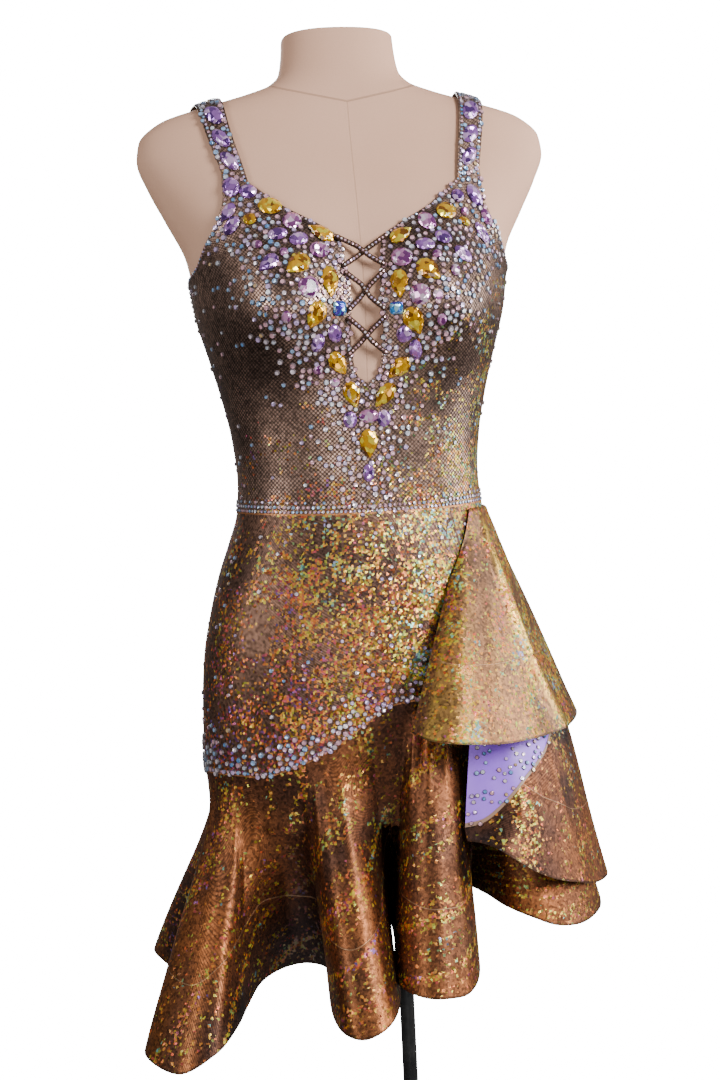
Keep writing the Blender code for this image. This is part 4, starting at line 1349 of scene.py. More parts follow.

# The foil cloths' dark and light colours, and a highlight painted onto sharp ridges.
FOIL_COLOURS = {
    "bodice": ((0.20, 0.128, 0.100), (0.66, 0.41, 0.31), (0.66, 0.41, 0.31)),
    "yoke": ((0.120, 0.066, 0.050), (0.31, 0.165, 0.105), (0.31, 0.165, 0.105)),
    "flounce": ((0.042, 0.028, 0.028), (0.34, 0.115, 0.040), (0.46, 0.15, 0.035)),
    "cape": ((0.15, 0.072, 0.036), (0.38, 0.165, 0.060), (1.0, 0.62, 0.10)),
}
# How much of the foil the flecks cover (`share`) and its change per metre up (`fade`) and to the
# left (`lean`); the flecks' place in the spectrum (`hue`) and its change `across` and `up`; how
# the flecks' zones are stretched (`bands`) and how strong they are (`patch`); the net's mesh and
# the darkness of its threads; and roughness and metal between the flecks.
FOILS = table(
    "kind share fade lean hue across up bands patch net threads dull metal",
    ("bodice", 0.40, -2.3, 1.6, 0.52, 1.2, -0.4, 1.0, 0.2, 0.0029, 0.9, 1.15, 0.92),
    ("yoke", 0.45, -0.8, 1.5, 0.62, 1.25, 1.0, 1.0, 0.2, 0.0016, 0.6, 1.6, 0.92),
    ("flounce", 0.20, 0.0, 0.0, 0.50, 0.3, 0.0, 0.06, 0.36, 0.0013, 0.65, 1.75, 0.92),
    ("cape", 0.40, 0.0, 0.0, 0.52, 0.3, 0.0, 0.4, 0.3, 0.0013, 0.3, 1.35, 0.66),
)
# How much of a fleck's chance comes from the cluster it is in, and how far its hue drifts and jumps.
CLUSTER_SHARE, HUE_DRIFT, HUE_JUMP = 0.55, 0.24, 0.28
FLECK_BRIGHTNESS, MOTTLE_BRIGHTNESS = (0.25, 1.15), (0.4, 1.5)
# How strongly flecks, the shade painted into folds and the highlight painted onto ridges cover the
# foil's own colour.
FLECK_COVER, FOLD_SHADE_COVER, RIDGE_HIGHLIGHT_COVER = 0.9, 0.8, 0.75
FLECK_LEAN, FLECK_ROUGHNESS, FLECK_METAL, CREST_SHINE = 0.45, 0.26, 0.45, 0.6
# The colour of the shade painted into the folds.
FOLD_SHADE = (0.011, 0.009, 0.012, 1)
NET_THREAD = (0.018, 0.011, 0.009, 1)
BRAID_LINE, HEM_STITCH = (0.75, 0.46, 0.26, 1), (0.03, 0.014, 0.008, 1)
SEAM_STITCH = (0.55, 0.22, 0.08, 1)

# Darker and lighter colours of the plain finishes.
LINING_TONES = (0.055, 0.032, 0.022, 1), (0.12, 0.072, 0.048, 1)
EDGE_TONES = (0.035, 0.017, 0.010, 1), (0.12, 0.055, 0.026, 1)
VIOLET_TONES = (0.34, 0.13, 0.88, 1), (0.46, 0.21, 1.0, 1)
VIOLET_BINDING = (0.34, 0.20, 0.13, 1)
LINEN_TONES = (0.71, 0.41, 0.275, 1), (0.80, 0.48, 0.335, 1)
LINEN_THREAD, LINEN_SEAM = (0.47, 0.25, 0.15, 1), (0.30, 0.17, 0.11, 1)
# The form's neck seam: its height in front, its rise to the back and to the sides, and where it
# runs out.
NECK_SEAM_HEIGHT, NECK_SEAM_RISE, NECK_SEAM_END = 0.4041, (0.30, 0.2), (0.105, 0.095)
BLACK_TONES = (0.012, 0.012, 0.013, 1), (0.03, 0.029, 0.028, 1)
CORD_TONES = (0.022, 0.011, 0.007, 1), (0.13, 0.062, 0.034, 1)
# Widths in metres: a cord's strand, the lining's and the satin's stitches, and the painted reflections
# inside the large stones and the painted glints on the small crystals.
STRAND_PITCH = 0.0042
LINING_STITCH, SATIN_STITCH = 0.0007, 0.0006
STONE_FACET, CRYSTAL_FACET = 0.0044, 0.0016


def foil_look(kind):
    """Stretch cloth under a metallic foil whose square flecks split the light into colours."""
    foil = next(foil for foil in FOILS if foil.kind == kind)
    dark, light, painted_ridge_highlight = ((*colour, 1) for colour in FOIL_COLOURS[kind])
    sizes = bpy.context.scene.dance_dress_cloth
    made = Finish(f"{kind}_foil", Specular_IOR_Level=0.6)
    uv, _, height = made.cut()
    crest = made.attribute("crest")
    base = made.mix(made.span(made.cloud(9.0, 3.0), 0.36, 0.66), dark, light)
    # A highlight painted onto sharp ridges.
    base = made.mix(made.times(crest, RIDGE_HIGHLIGHT_COVER), base, painted_ridge_highlight)
    cells = made.cells(1 / sizes.fleck_size, 0.8)
    colour, shown = flecks_over(made, foil, uv, base, cells)
    bare = made.minus(1.0, shown)
    made.feed(made.shader, "Metallic", made.blend_values(bare, FLECK_METAL, foil.metal))
    rough = made.times(made.spread(crest, 1.0, CREST_SHINE), sizes.roughness * foil.dull)
    rough = made.blend_values(shown, rough, FLECK_ROUGHNESS)
    colour, rough = net_over(made, foil, uv, colour, rough)
    normal = made.tilted(cells.outputs["Color"], made.times(shown, FLECK_LEAN))
    weave = made.cells(1 / sizes.stitch_size, 0.15)
    normal = made.bump(weave.outputs["Distance"], 0.00012, 0.5, normal)
    if kind in ("flounce", "cape"):
        line = made.band(height, sizes.braid_height, 0.0008)
        colour = made.mix(made.times(line, 0.25), colour, BRAID_LINE)
        normal = made.bump(line, 0.0004, 0.6, normal)
        hem = made.span(height, 0.0024, 0.0014)
        colour = made.mix(made.times(hem, 0.7), colour, HEM_STITCH)
    else:
        seam = made.span(height, 0.0022, 0.0012)
        colour = made.mix(made.times(seam, 0.8), colour, SEAM_STITCH)
    return made.finish(colour, rough, normal)


def flecks_over(made, foil, uv, base, cells):
    """Clusters of small flecks; their hue drifts across the cloth and jumps a little in each."""
    spot, chances = cells.outputs["Position"], made.chances(cells)
    aside, _, height = made.axes()
    stretched = made.add("ShaderNodeMapping", {"Vector": uv, "Scale": (1, foil.bands, 1)})
    zones = made.cloud(26.0, 2.0, place=stretched.outputs[0])
    covered = (
        made.clouded(made.cloud(230.0, 1.0, place=spot), 0.0, CLUSTER_SHARE),
        made.clouded(zones, -foil.patch, foil.patch),
        made.times(height, foil.fade),
        made.times(aside, foil.lean),
    )
    chance = made.times(chances[0], 1 - CLUSTER_SHARE)
    for share in covered:
        chance = made.plus(chance, share)
    shown = made.math("GREATER_THAN", chance, 0.84 - foil.share * 0.68)
    hue = made.plus(made.times(aside, foil.across), made.times(height, foil.up))
    drift = made.cloud(34.0, 2.0, place=spot)
    hue = made.plus(hue, made.clouded(drift, -HUE_DRIFT, HUE_DRIFT))
    hue = made.plus(hue, made.spread(chances[1], foil.hue - HUE_JUMP, foil.hue + HUE_JUMP))
    fleck = made.scaled(made.ramp(hue, SPECTRUM), made.spread(chances[2], *FLECK_BRIGHTNESS))
    mottled = made.scaled(base, made.spread(chances[2], *MOTTLE_BRIGHTNESS))
    colour = made.mix(made.times(shown, FLECK_COVER), mottled, fleck)
    # Painted shade: the folds' hollows are darkened towards FOLD_SHADE.
    hollow = made.times(made.attribute("hollow"), FOLD_SHADE_COVER)
    return made.mix(hollow, colour, FOLD_SHADE), shown


def net_over(made, foil, uv, colour, rough):
    """A fine net over the foil: dark threads run both ways on the slant."""
    slanted = made.add("ShaderNodeMapping", {"Vector": uv, "Rotation": (0, 0, math.pi / 4)})
    holes = made.cells(1 / foil.net, 0.0, "EUCLIDEAN", slanted.outputs[0], flat=True)
    thread = made.times(made.span(holes.outputs["Distance"], 0.30, 0.46), foil.threads)
    dark = made.mix(0.12, NET_THREAD, colour)
    return made.mix(thread, colour, dark), made.blend_values(thread, rough, 0.6)


def lining_look():
    """The back of the cloth, a plain brown knit."""
    made = Finish("cloth_lining", Specular_IOR_Level=0.35)
    tone = made.cloud(70.0, 4.0)
    knit = made.cells(1 / LINING_STITCH, 0.1)
    colour = made.mix(made.clouded(tone), *LINING_TONES)
    normal = made.bump(knit.outputs["Distance"], 0.0002, 0.6)
    return made.finish(colour, made.clouded(tone, 0.62, 0.78), normal)


def edge_look():
    """The rolled and stitched edge of the foil cloth."""
    made = Finish("cloth_edge", Metallic=0.5)
    tone = made.cloud(300.0, 2.0)
    colour = made.mix(tone, *EDGE_TONES)
    return made.finish(colour, 0.45, made.bump(tone, 0.0002, 0.5))


def violet_look():
    """Plain violet stretch satin with a narrow pale binding on its rounded edge."""
    made = Finish("violet_satin", Specular_IOR_Level=0.5)
    _, _, height = made.cut()
    tone = made.cloud(18.0, 3.0)
    knit = made.cells(1 / SATIN_STITCH, 0.1)
    colour = made.mix(made.span(tone, 0.35, 0.65), *VIOLET_TONES)
    binding = made.span(height, 0.0046, 0.0036)
    colour = made.mix(binding, colour, VIOLET_BINDING)
    normal = made.bump(knit.outputs["Distance"], 0.00012, 0.5)
    normal = made.bump(binding, 0.0005, 0.8, normal)
    return made.finish(colour, made.clouded(tone, 0.34, 0.46), normal)


def linen_look():
    """The form's pale jersey cover: a seam round the neck and one from it down the front."""
    made = Finish("form_linen", Specular_IOR_Level=0.3)
    x, y, z = made.axes()
    tone, fine = made.cloud(5.0, 4.0), made.cloud(900.0, 2.0)
    colour = made.mix(made.clouded(tone), *LINEN_TONES)
    colour = made.mix(made.clouded(fine, 0.0, 0.12), colour, LINEN_THREAD)
    aside = made.math("ABSOLUTE", x)
    back_rise, side_rise = NECK_SEAM_RISE
    level = made.plus(made.times(y, back_rise), made.times(aside, side_rise))
    above = made.minus(z, made.plus(level, NECK_SEAM_HEIGHT))
    neck = made.times(made.band(above, 0.0, 0.0011), made.span(aside, *NECK_SEAM_END))
    front = made.times(made.math("LESS_THAN", y, 0.0), made.math("LESS_THAN", above, 0.0))
    centre = made.times(made.band(x, 0.0, 0.0009), front)
    seam = made.math("MAXIMUM", made.times(centre, 0.5), neck)
    colour = made.mix(made.times(seam, 0.5), colour, LINEN_SEAM)
    normal = made.bump(fine, 0.00025, 0.35)
    normal = made.bump(made.minus(1.0, seam), 0.0006, 0.7, normal)
    return made.finish(colour, made.clouded(fine, 0.74, 0.88), normal)


def black_look():
    """Black satin paint on steel, a little dusty."""
    made = Finish("stand_black", Metallic=0.35, Specular_IOR_Level=0.5)
    dust = made.cloud(40.0, 5.0, 0.65)
    grain = made.cloud(700.0, 2.0)
    colour = made.mix(made.span(dust, 0.45, 0.75), *BLACK_TONES)
    rough = made.clouded(dust, 0.26, 0.42)
    return made.finish(colour, rough, made.bump(grain, 0.00004, 0.5))


def cord_look():
    """Dark braided cord: strands cross on the slant all the way along."""
    made = Finish("braided_cord", Metallic=0.3)
    strands = []
    for way in (1, -1):
        along = made.times(made.attribute("along"), way / STRAND_PITCH)
        phase = made.plus(along, made.attribute("turn"))
        strands.append(made.math("SINE", made.times(phase, 4 * math.pi)))
    braid = made.math("MAXIMUM", *strands)
    colour = made.mix(made.span(braid, -0.2, 1.0), *CORD_TONES)
    return made.finish(colour, 0.5, made.bump(braid, 0.0004, 0.7))


# Each stone colour's dark, plain and bright tones, which paint reflections on its inner facets.
STONE_TONES = {
    "amber": ((0.32, 0.11, 0.00), (0.95, 0.46, 0.00), (1.0, 0.78, 0.05)),
    "lilac": ((0.26, 0.05, 0.26), (0.80, 0.34, 0.66), (1.0, 0.76, 0.92)),
    "violet": ((0.13, 0.04, 0.25), (0.46, 0.19, 0.64), (0.90, 0.58, 0.98)),
    "azure": ((0.10, 0.06, 0.60), (0.06, 0.40, 1.0), (0.45, 0.85, 1.0)),
}
FACET_SHADES = (0, (0.5, 0.5, 0.5)), (1, (1, 1, 1))


def stone_look(colour):
    """Cut glass over foil: each inner facet mirrors the room in its own direction and carries a painted
    reflection.
    """
    dark, plain, bright = STONE_TONES[colour]
    made = Finish(f"{colour}_stone", Metallic=0.6, Specular_IOR_Level=0.9, Coat_Weight=1.0)
    made.feed(made.shader, "Coat Roughness", 0.03)
    cells = made.cells(1 / STONE_FACET, 1.0, "EUCLIDEAN")
    # Painted reflections: each inner facet is dark, plain or bright, and darker at its edges.
    stops = ((0.0, dark), (0.16, dark), (0.36, plain), (0.66, plain), (0.82, bright), (1.0, bright))
    tone = made.ramp(made.chances(cells)[0], stops)
    edge = made.span(cells.outputs["Distance"], 0.75, 0.5, 0.75, 1.0)
    tone = made.mix(1.0, tone, made.ramp(edge, FACET_SHADES), "MULTIPLY")
    tone = made.mix(made.attribute("rim"), tone, (*(part * 0.2 for part in dark), 1))
    return made.finish(tone, 0.10, made.tilted(cells.outputs["Color"], 0.55))


CRYSTAL_TINTS = (
    (0.00, (1.00, 0.54, 0.60)),
    (0.26, (1.00, 0.84, 0.88)),
    (0.40, (0.86, 0.62, 0.98)),
    (0.54, (0.92, 0.95, 1.00)),
    (0.64, (0.42, 0.68, 1.00)),
    (0.86, (0.18, 0.44, 0.84)),
    (0.96, (1.00, 0.66, 0.30)),
)
# Painted glints: the table's small facets are darker and lighter.
CRYSTAL_SHADES = ((0, (0.42, 0.42, 0.48)), (0.5, (0.85, 0.85, 0.9)), (1, (1, 1, 1)))
# Shade painted on the crystals' sides.
CRYSTAL_RIM = (0.07, 0.05, 0.055, 1)


def crystal_look():
    """Small foil-backed crystals: pale tables with painted glints inside rims painted dark as shade,
    pinker towards the middle.
    """
    made = Finish("small_crystal", Specular_IOR_Level=0.9)
    made.feed(made.shader, "Coat Roughness", 0.02)
    aside = made.math("ABSOLUTE", made.axes()[0])
    tint = made.times(made.attribute("tint"), made.span(aside, 0.02, 0.10, 0.56, 1.0))
    colour = made.ramp(tint, CRYSTAL_TINTS, "CONSTANT")
    glint = made.cells(1 / CRYSTAL_FACET, 1.0, "EUCLIDEAN")
    # Painted glints on the table's facets.
    colour = made.mix(1.0, colour, made.ramp(made.chances(glint)[1], CRYSTAL_SHADES), "MULTIPLY")
    rim = made.attribute("rim")
    # The rim is painted dark as shade.
    colour = made.mix(made.times(rim, 0.93), colour, CRYSTAL_RIM)
    table_share = made.minus(1.0, rim)
    made.feed(made.shader, "Coat Weight", table_share)
    made.feed(made.shader, "Metallic", made.times(table_share, 0.2))
    normal = made.tilted(glint.outputs["Color"], 0.6)
    return made.finish(colour, made.blend_values(rim, 0.08, 0.4), normal)


# Crystals.


# A crystal two units wide, cut flat at its table.
CRYSTAL_SHAPE = {"Vertices": 8, "Radius Top": 0.7, "Radius Bottom": 1.0, "Depth": 0.6}
# Strewn crystals are smaller, down to a share of their size, where they lie less close than this.
SPARSE_SIZE, SPARSE_BELOW = 0.7, 0.4
ROW_SIZES = (0.86, 1.1)
# How far crystals stay clear of the large stones, how many are tried in a square of the closest
# spacing, and the share of it that they keep apart.
STONE_CLEARANCE, TRIES, LEAST_APART = 0.0012, 3, 0.78


class CrystalTree(Nodes):
    """A Geometry Nodes tree that sets small cut crystals, clear of the large stones."""

    def __init__(self, name, inputs):
        super().__init__(bpy.data.node_groups.new(name, "GeometryNodeTree"))
        face = self.tree.interface
        face.new_socket("Geometry", in_out="INPUT", socket_type="NodeSocketGeometry")
        for label, kind, value in inputs:
            made = face.new_socket(label, in_out="INPUT", socket_type=f"NodeSocket{kind}")
            if value is not None:
                made.default_value = value
        face.new_socket("Geometry", in_out="OUTPUT", socket_type="NodeSocketGeometry")
        self.given = self.add("NodeGroupInput").outputs

    def attribute(self, name, kind="FLOAT"):
        made = self.add("GeometryNodeInputNamedAttribute", {"Name": name}, data_type=kind)
        return made.outputs["Attribute"]

    def chance(self, low, high, extra_seed):
        feeds = {"Min": low, "Max": high, "Seed": self.plus(self.given["Seed"], extra_seed)}
        made = self.add("FunctionNodeRandomValue", feeds, data_type="FLOAT")
        return next(s for s in made.outputs if s.enabled)

    def keep(self, geometry, name, value, domain):
        """Stores a value on each face or each crystal, which the finish reads."""
        feeds = {"Geometry": geometry, "Name": name, "Value": value}
        kinds = {"data_type": "FLOAT", "domain": domain}
        return self.add("GeometryNodeStoreNamedAttribute", feeds, **kinds).outputs[0]

    def set_on(self, points, rotation, size):
        """A crystal on every point that is clear of the large stones, as plain faces."""
        stones = self.add("GeometryNodeObjectInfo", {"Object": self.given["Stones"]})
        away = self.add("GeometryNodeProximity", {0: stones.outputs["Geometry"]})
        feeds = {0: away.outputs["Distance"], 1: self.given["Clear"]}
        kinds = {"data_type": "FLOAT", "operation": "GREATER_THAN"}
        clear = self.add("FunctionNodeCompare", feeds, **kinds)
        cone = self.add("GeometryNodeMeshCone", CRYSTAL_SHAPE).outputs
        gem = self.keep(cone["Mesh"], "rim", cone["Side"], "FACE")
        gem = self.add("GeometryNodeSetShadeSmooth", {"Geometry": gem, "Shade Smooth": False})
        feeds = {
            "Points": points,
            "Selection": clear.outputs[0],
            "Instance": gem.outputs[0],
            "Rotation": rotation,
            "Scale": self.times(size, 0.5),
        }
        placed = self.add("GeometryNodeInstanceOnPoints", feeds).outputs[0]
        placed = self.keep(placed, "tint", self.chance(0.0, 1.0, 7), "INSTANCE")
        placed = self.add("GeometryNodeRealizeInstances", {0: placed}).outputs[0]
        feeds = {"Geometry": placed, "Material": self.given["Material"]}
        placed = self.add("GeometryNodeSetMaterial", feeds).outputs[0]
        self.add("NodeGroupOutput", {"Geometry": placed})
        return self.tree


SHARED_INPUTS = (
    ("Stones", "Object", None),
    ("Clear", "Float", 0.001),
    ("Seed", "Int", 1),
    ("Material", "Material", None),
)


def scatter_tree():
    """Crystals strewn over a sheet; its `density` attribute says where they are close together."""
    inputs = (
        *SHARED_INPUTS,
        ("Most per square metre", "Float", 50000.0),
        ("Least apart", "Float", 0.0034),
        ("Smallest", "Float", 0.002),
        ("Largest", "Float", 0.004),
    )
    made = CrystalTree("strewn_crystals", inputs)
    feeds = {
        "Mesh": made.given["Geometry"],
        "Distance Min": made.given["Least apart"],
        "Density Max": made.given["Most per square metre"],
        "Density Factor": made.attribute("density"),
        "Seed": made.given["Seed"],
    }
    spread = made.add("GeometryNodeDistributePointsOnFaces", feeds, distribute_method="POISSON")
    size = made.chance(made.given["Smallest"], made.given["Largest"], 3)
    full = made.span(made.attribute("density"), 0.0, SPARSE_BELOW, SPARSE_SIZE, 1.0)
    size = made.times(size, full)
    return made.set_on(spread.outputs["Points"], spread.outputs["Rotation"], size)


def rows_tree():
    """Crystals in rows along lines; each line carries its pitch, size and outward direction."""
    made = CrystalTree("rows_of_crystals", SHARED_INPUTS)
    lines = made.add("GeometryNodeMeshToCurve", {"Mesh": made.given["Geometry"]}).outputs[0]
    feeds = {"Curve": lines, "Length": made.attribute("pitch")}
    spaced = made.add("GeometryNodeResampleCurve", feeds, mode="LENGTH").outputs[0]
    feeds = {"Vector": made.attribute("outward", "FLOAT_VECTOR")}
    stand = made.add("FunctionNodeAlignRotationToVector", feeds, axis="Z").outputs[0]
    size = made.times(made.attribute("size"), made.chance(*ROW_SIZES, 3))
    return made.set_on(spaced, stand, size)


def run_tree(obj, tree, values):
    """Runs a tree on an object with these inputs, and keeps its result as the mesh."""
    modifier = obj.modifiers.new(tree.name, "NODES")
    modifier.node_group = tree
    for item in tree.interface.items_tree:
        if item.item_type == "SOCKET" and item.in_out == "INPUT" and item.name in values:
            modifier[item.identifier] = values[item.name]
    return settle(obj)


def crystal_inputs(extra_seed, scale=1.0):
    sizes = bpy.context.scene.dance_dress_crystals
    return {
        "Stones": bpy.data.objects["set_stones"],
        "Clear": STONE_CLEARANCE,
        "Seed": sizes.seed + extra_seed,
        "Material": bpy.data.materials.get("small_crystal") or crystal_look(),
        "Most per square metre": TRIES * sizes.closest_spacing**-2,
        "Least apart": sizes.closest_spacing * LEAST_APART,
        "Smallest": sizes.smallest * scale,
        "Largest": sizes.largest * scale,
    }


def strew(name, cloths, densities, extra_seed, scale=1.0):
    """Crystals over outer faces of cloth, as close together as `densities` say."""
    parts = [(cloth.moved(WALL).points, cloth.faces()) for cloth in cloths]
    obj = new_object(name, *joined(parts))
    store(obj, "density", np.concatenate([np.ravel(part) for part in densities]))
    run_tree(obj, scatter_tree(), crystal_inputs(extra_seed, scale))
    finish_piece(obj)


def string_rows(name, lines, extra_seed):
    """Crystals along lines, each given as points, outward directions, pitch and size."""
    places, outward, pitches, sizes = zip(*lines)
    counts = [len(part) for part in places]
    parts = [(part, [(i, i + 1) for i in range(len(part) - 1)]) for part in places]
    points, edges = joined(parts)
    obj = new_object(name, points, edges=edges)
    store(obj, "outward", np.concatenate(outward), "FLOAT_VECTOR")
    store(obj, "pitch", np.repeat(pitches, counts) * MM)
    store(obj, "size", np.repeat(sizes, counts) * MM)
    run_tree(obj, rows_tree(), crystal_inputs(extra_seed))
    finish_piece(obj)


# Settings.


def number_setting(name, description, default, least, most, **more):
    more |= {"min": least, "max": most}
    return FloatProperty(name=name, description=description, default=default, **more)


def length_setting(name, description, metres):
    return number_setting(name, description, metres, 0.0, 0.1, precision=4, unit="LENGTH")


def angle_setting(name, description, degrees):
    turn = math.radians(degrees)
    return FloatProperty(name=name, description=description, default=turn, subtype="ANGLE")


class DanceDressCloth(bpy.types.PropertyGroup):
    """Sizes of the foil cloth's pattern."""

    fleck_size: length_setting("Fleck size", "Width of the foil's square flecks", 0.0022)
    stitch_size: length_setting("Stitch size", "Width of one stitch of the knitted cloth", 0.0009)
    braid_height: length_setting("Braid height", "Height of the stiffening braid above the hems", 0.078)
    roughness: number_setting(
        "Foil roughness",
        "How much the foil between the flecks scatters light",
        0.27,
        0.05,
        1.0,
        subtype="FACTOR",
    )


class DanceDressCrystals(bpy.types.PropertyGroup):
    """Sizes of the small crystals."""

    smallest: length_setting("Smallest", "Width of the smallest crystals", 0.0048)
    largest: length_setting("Largest", "Width of the largest crystals", 0.0068)
    closest_spacing: length_setting("Closest spacing", "Distance between crystals where closest", 0.0064)
    seed: IntProperty(name="Seed", description="Chooses where the crystals fall", default=4)


class DanceDressStudio(bpy.types.PropertyGroup):
    """The camera, the lights and the floor."""

    camera_place: FloatVectorProperty(
        name="Camera",
        description="Where the camera stands",
        default=(-0.2328, -1.4854, 1.030),
        subtype="XYZ",
        unit="LENGTH",
    )
    camera_turn: angle_setting("Turn", "How far the camera looks to the right of straight ahead", 7.97)
    camera_dip: angle_setting("Dip", "How far the camera looks down", 2.39)
    camera_roll: angle_setting("Roll", "How far the camera leans to its side", 2.82)
    focal_length: number_setting(
        "Focal length", "Of the lens, in millimetres on a 36 mm picture", 50.07, 10.0, 200.0
    )
    lamp_power: number_setting(
        "Lamp power", "Of the main lamp; the others follow it", 80.0, 0.0, 1000.0, unit="POWER"
    )
    backdrop: number_setting(
        "Backdrop", "Brightness of the backdrop behind the dress", 18.0, 0.0, 50.0
    )
    floor_colour: FloatVectorProperty(
        name="Floor",
        description="Colour of the floor",
        default=(0.80, 0.79, 0.78),
        min=0.0,
        max=1.0,
        subtype="COLOR",
    )


# Operators.


BACKING_LOOKS = (("cloth_lining", lining_look), ("cloth_edge", edge_look))


def foil_looks(kind):
    """The outer face, lining and edge of a piece of foil cloth, made once each."""
    names = ((f"{kind}_foil", lambda: foil_look(kind)), *BACKING_LOOKS)
    return [bpy.data.materials.get(name) or make() for name, make in names]


class DANCEDRESS_OT_form(bpy.types.Operator):
    """Make the linen-covered form"""

    bl_idname = "dance_dress.form"
    bl_label = "Form"

    def execute(self, context):
        make_form()
        return {"FINISHED"}


class DANCEDRESS_OT_stand(bpy.types.Operator):
    """Make the pole and its base"""

    bl_idname = "dance_dress.stand"
    bl_label = "Stand"

    def execute(self, context):
        look = black_look()
        low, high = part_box("pole")
        radius = (high.x - low.x) / 2 / MM
        bottom, top = low.z / MM, high.z / MM
        pole = [(radius - POLE_EDGE, bottom), (radius, bottom + POLE_EDGE)]
        pole += [(radius, top - POLE_EDGE), (radius - POLE_EDGE, top)]
        turned("stand_pole", pole, POLE_SIDES, look, "pole")
        turned("stand_base", BASE_PROFILE, BASE_SIDES, look, "base")
        return {"FINISHED"}


FORM_PIECE = "fitted_form"


class DANCEDRESS_OT_bodice(bpy.types.Operator):
    """Make the front and the back of the bodice"""

    bl_idname = "dance_dress.bodice"
    bl_label = "Bodice"

    def execute(self, context):
        for name, cut in (("bodice_front", front_cloth), ("bodice_back", back_cloth)):
            cloth, looks = cut(CLOTH_OUT), foil_looks("bodice")
            add_cloth(f"{name}_cloth", cloth, looks, name, "stretched", [FORM_PIECE])
        return {"FINISHED"}


STRAP_SIDES = ("left", "right")


def strap_piece(side, out):
    """The left strap's sheet, or the right one's, which lies a little further out."""
    if side == "left":
        return strap_cloth(out, 0.0)
    return Cloth(mirrored(strap_cloth(out, RIGHT_STRAP_SPREAD).points)[:, ::-1])


class DANCEDRESS_OT_straps(bpy.types.Operator):
    """Make the two straps"""

    bl_idname = "dance_dress.straps"
    bl_label = "Straps"

    def execute(self, context):
        for side in STRAP_SIDES:
            name, cloth = f"strap_{side}", strap_piece(side, STRAP_OUT)
            looks = foil_looks("bodice")
            add_cloth(f"{name}_cloth", cloth, looks, name, "stretched", [FORM_PIECE])
        return {"FINISHED"}


class DANCEDRESS_OT_lacing(bpy.types.Operator):
    """Make the six cords that cross over the keyhole"""

    bl_idname = "dance_dress.lacing"
    bl_label = "Lacing"

    def execute(self, context):
        look = cord_look()
        for name, route in lace_routes():
            cord = cord_mesh(f"lace_{name}", route)
            cord.data.materials.append(look)
            finish_piece(cord, f"lacing_{name}")
        return {"FINISHED"}


class DANCEDRESS_OT_yoke(bpy.types.Operator):
    """Make the front and the back of the hip yoke"""

    bl_idname = "dance_dress.yoke"
    bl_label = "Yoke"

    def execute(self, context):
        for name, start, end in (("yoke_front", -90, 90), ("yoke_back", 90, 270)):
            cloth, looks = yoke_cloth(start, end, CLOTH_OUT), foil_looks("yoke")
            add_cloth(f"{name}_cloth", cloth, looks, name, "stretched", [FORM_PIECE])
        return {"FINISHED"}


class DANCEDRESS_OT_main_flounce(bpy.types.Operator):
    """Make the two halves of the main flounce"""

    bl_idname = "dance_dress.main_flounce"
    bl_label = "Main flounce"

    def execute(self, context):
        side = next(i for i, row in enumerate(MAIN_FOLDS) if row.turn >= 90)
        looks = foil_looks("flounce")
        for half, first, last in (("front", 0, side), ("back", side, len(MAIN_FOLDS))):
            creases = [crease._replace(at=crease.at - first) for crease in MAIN_CREASES]
            cloth = creased(main_flounce(first, last, CLOTH_OUT), creases)
            name, rests = f"flounce_{half}", [f"yoke_{half}_cloth"]
            cloth = rippled(cloth, 1 + first)
            add_cloth(f"{name}_cloth", cloth, looks, name, "hung", rests)
        return {"FINISHED"}


class DANCEDRESS_OT_petal(bpy.types.Operator):
    """Make the petal on the hip and the flounce on its edge"""

    bl_idname = "dance_dress.petal"
    bl_label = "Petal"

    def execute(self, context):
        petal = petal_cloth(LAYER_OUT)
        looks = foil_looks("flounce")
        violet = [violet_look(), *looks[1:]]
        rests = ["yoke_front_cloth", "flounce_front_cloth"]
        add_cloth("violet_petal", petal, violet, "petal", "hung", rests)
        flounce = creased(petal_flounce_cloth(petal), PETAL_FLOUNCE_CREASES)
        name, node, rests = "petal_edge_flounce", "petal_flounce", ["violet_petal"]
        add_cloth(name, flounce, looks, node, "hung", rests)
        return {"FINISHED"}


class DANCEDRESS_OT_cape(bpy.types.Operator):
    """Make the short cape over the hip"""

    bl_idname = "dance_dress.cape"
    bl_label = "Cape"

    def execute(self, context):
        cloth, looks = creased(cape_cloth(LAYER_OUT), CAPE_CREASES), foil_looks("cape")
        rests = ["yoke_front_cloth"]
        add_cloth("hip_cape", cloth, looks, "cape", "hung", rests)
        return {"FINISHED"}


class DANCEDRESS_OT_stones(bpy.types.Operator):
    """Make the large cut stones"""

    bl_idname = "dance_dress.stones"
    bl_label = "Large stones"

    def execute(self, context):
        make_stones()
        return {"FINISHED"}


# How close together strewn crystals lie, as a share of the closest, away from the large stones and
# edges; how far from those they lie closer; and the petal's crystals' highest place and size.
FRONT_SHARE, BACK_SHARE, YOKE_SHARE, PETAL_SHARE = 0.04, 0.03, 0.06, 0.6
STONE_REACH, STONE_FADE, YOKE_FADE = 15, 14, 30
PETAL_CRYSTAL_TOP, PETAL_CRYSTAL_SCALE = -195, 0.78


def front_share(points):
    """How close the crystals lie on the bodice's front: most beside the large stones."""
    centres = np.array([(stone.x, stone.height) for stone in STONES])
    away = points[..., None, (0, 2)] - centres
    near = np.linalg.norm(away, axis=-1).min(axis=-1)
    sparse = FRONT_SHARE * (1 + smooth((points[..., 2] - 120) / 80))
    beside = np.exp(-np.maximum(near - STONE_REACH, 0) / STONE_FADE)
    return np.clip(beside + sparse, 0, 1)


def yoke_share(heights):
    """How close the crystals lie on the yoke: most near its lower edge."""
    return YOKE_SHARE + 0.9 * np.exp(-(((heights - heights[:1]) / YOKE_FADE) ** 2))


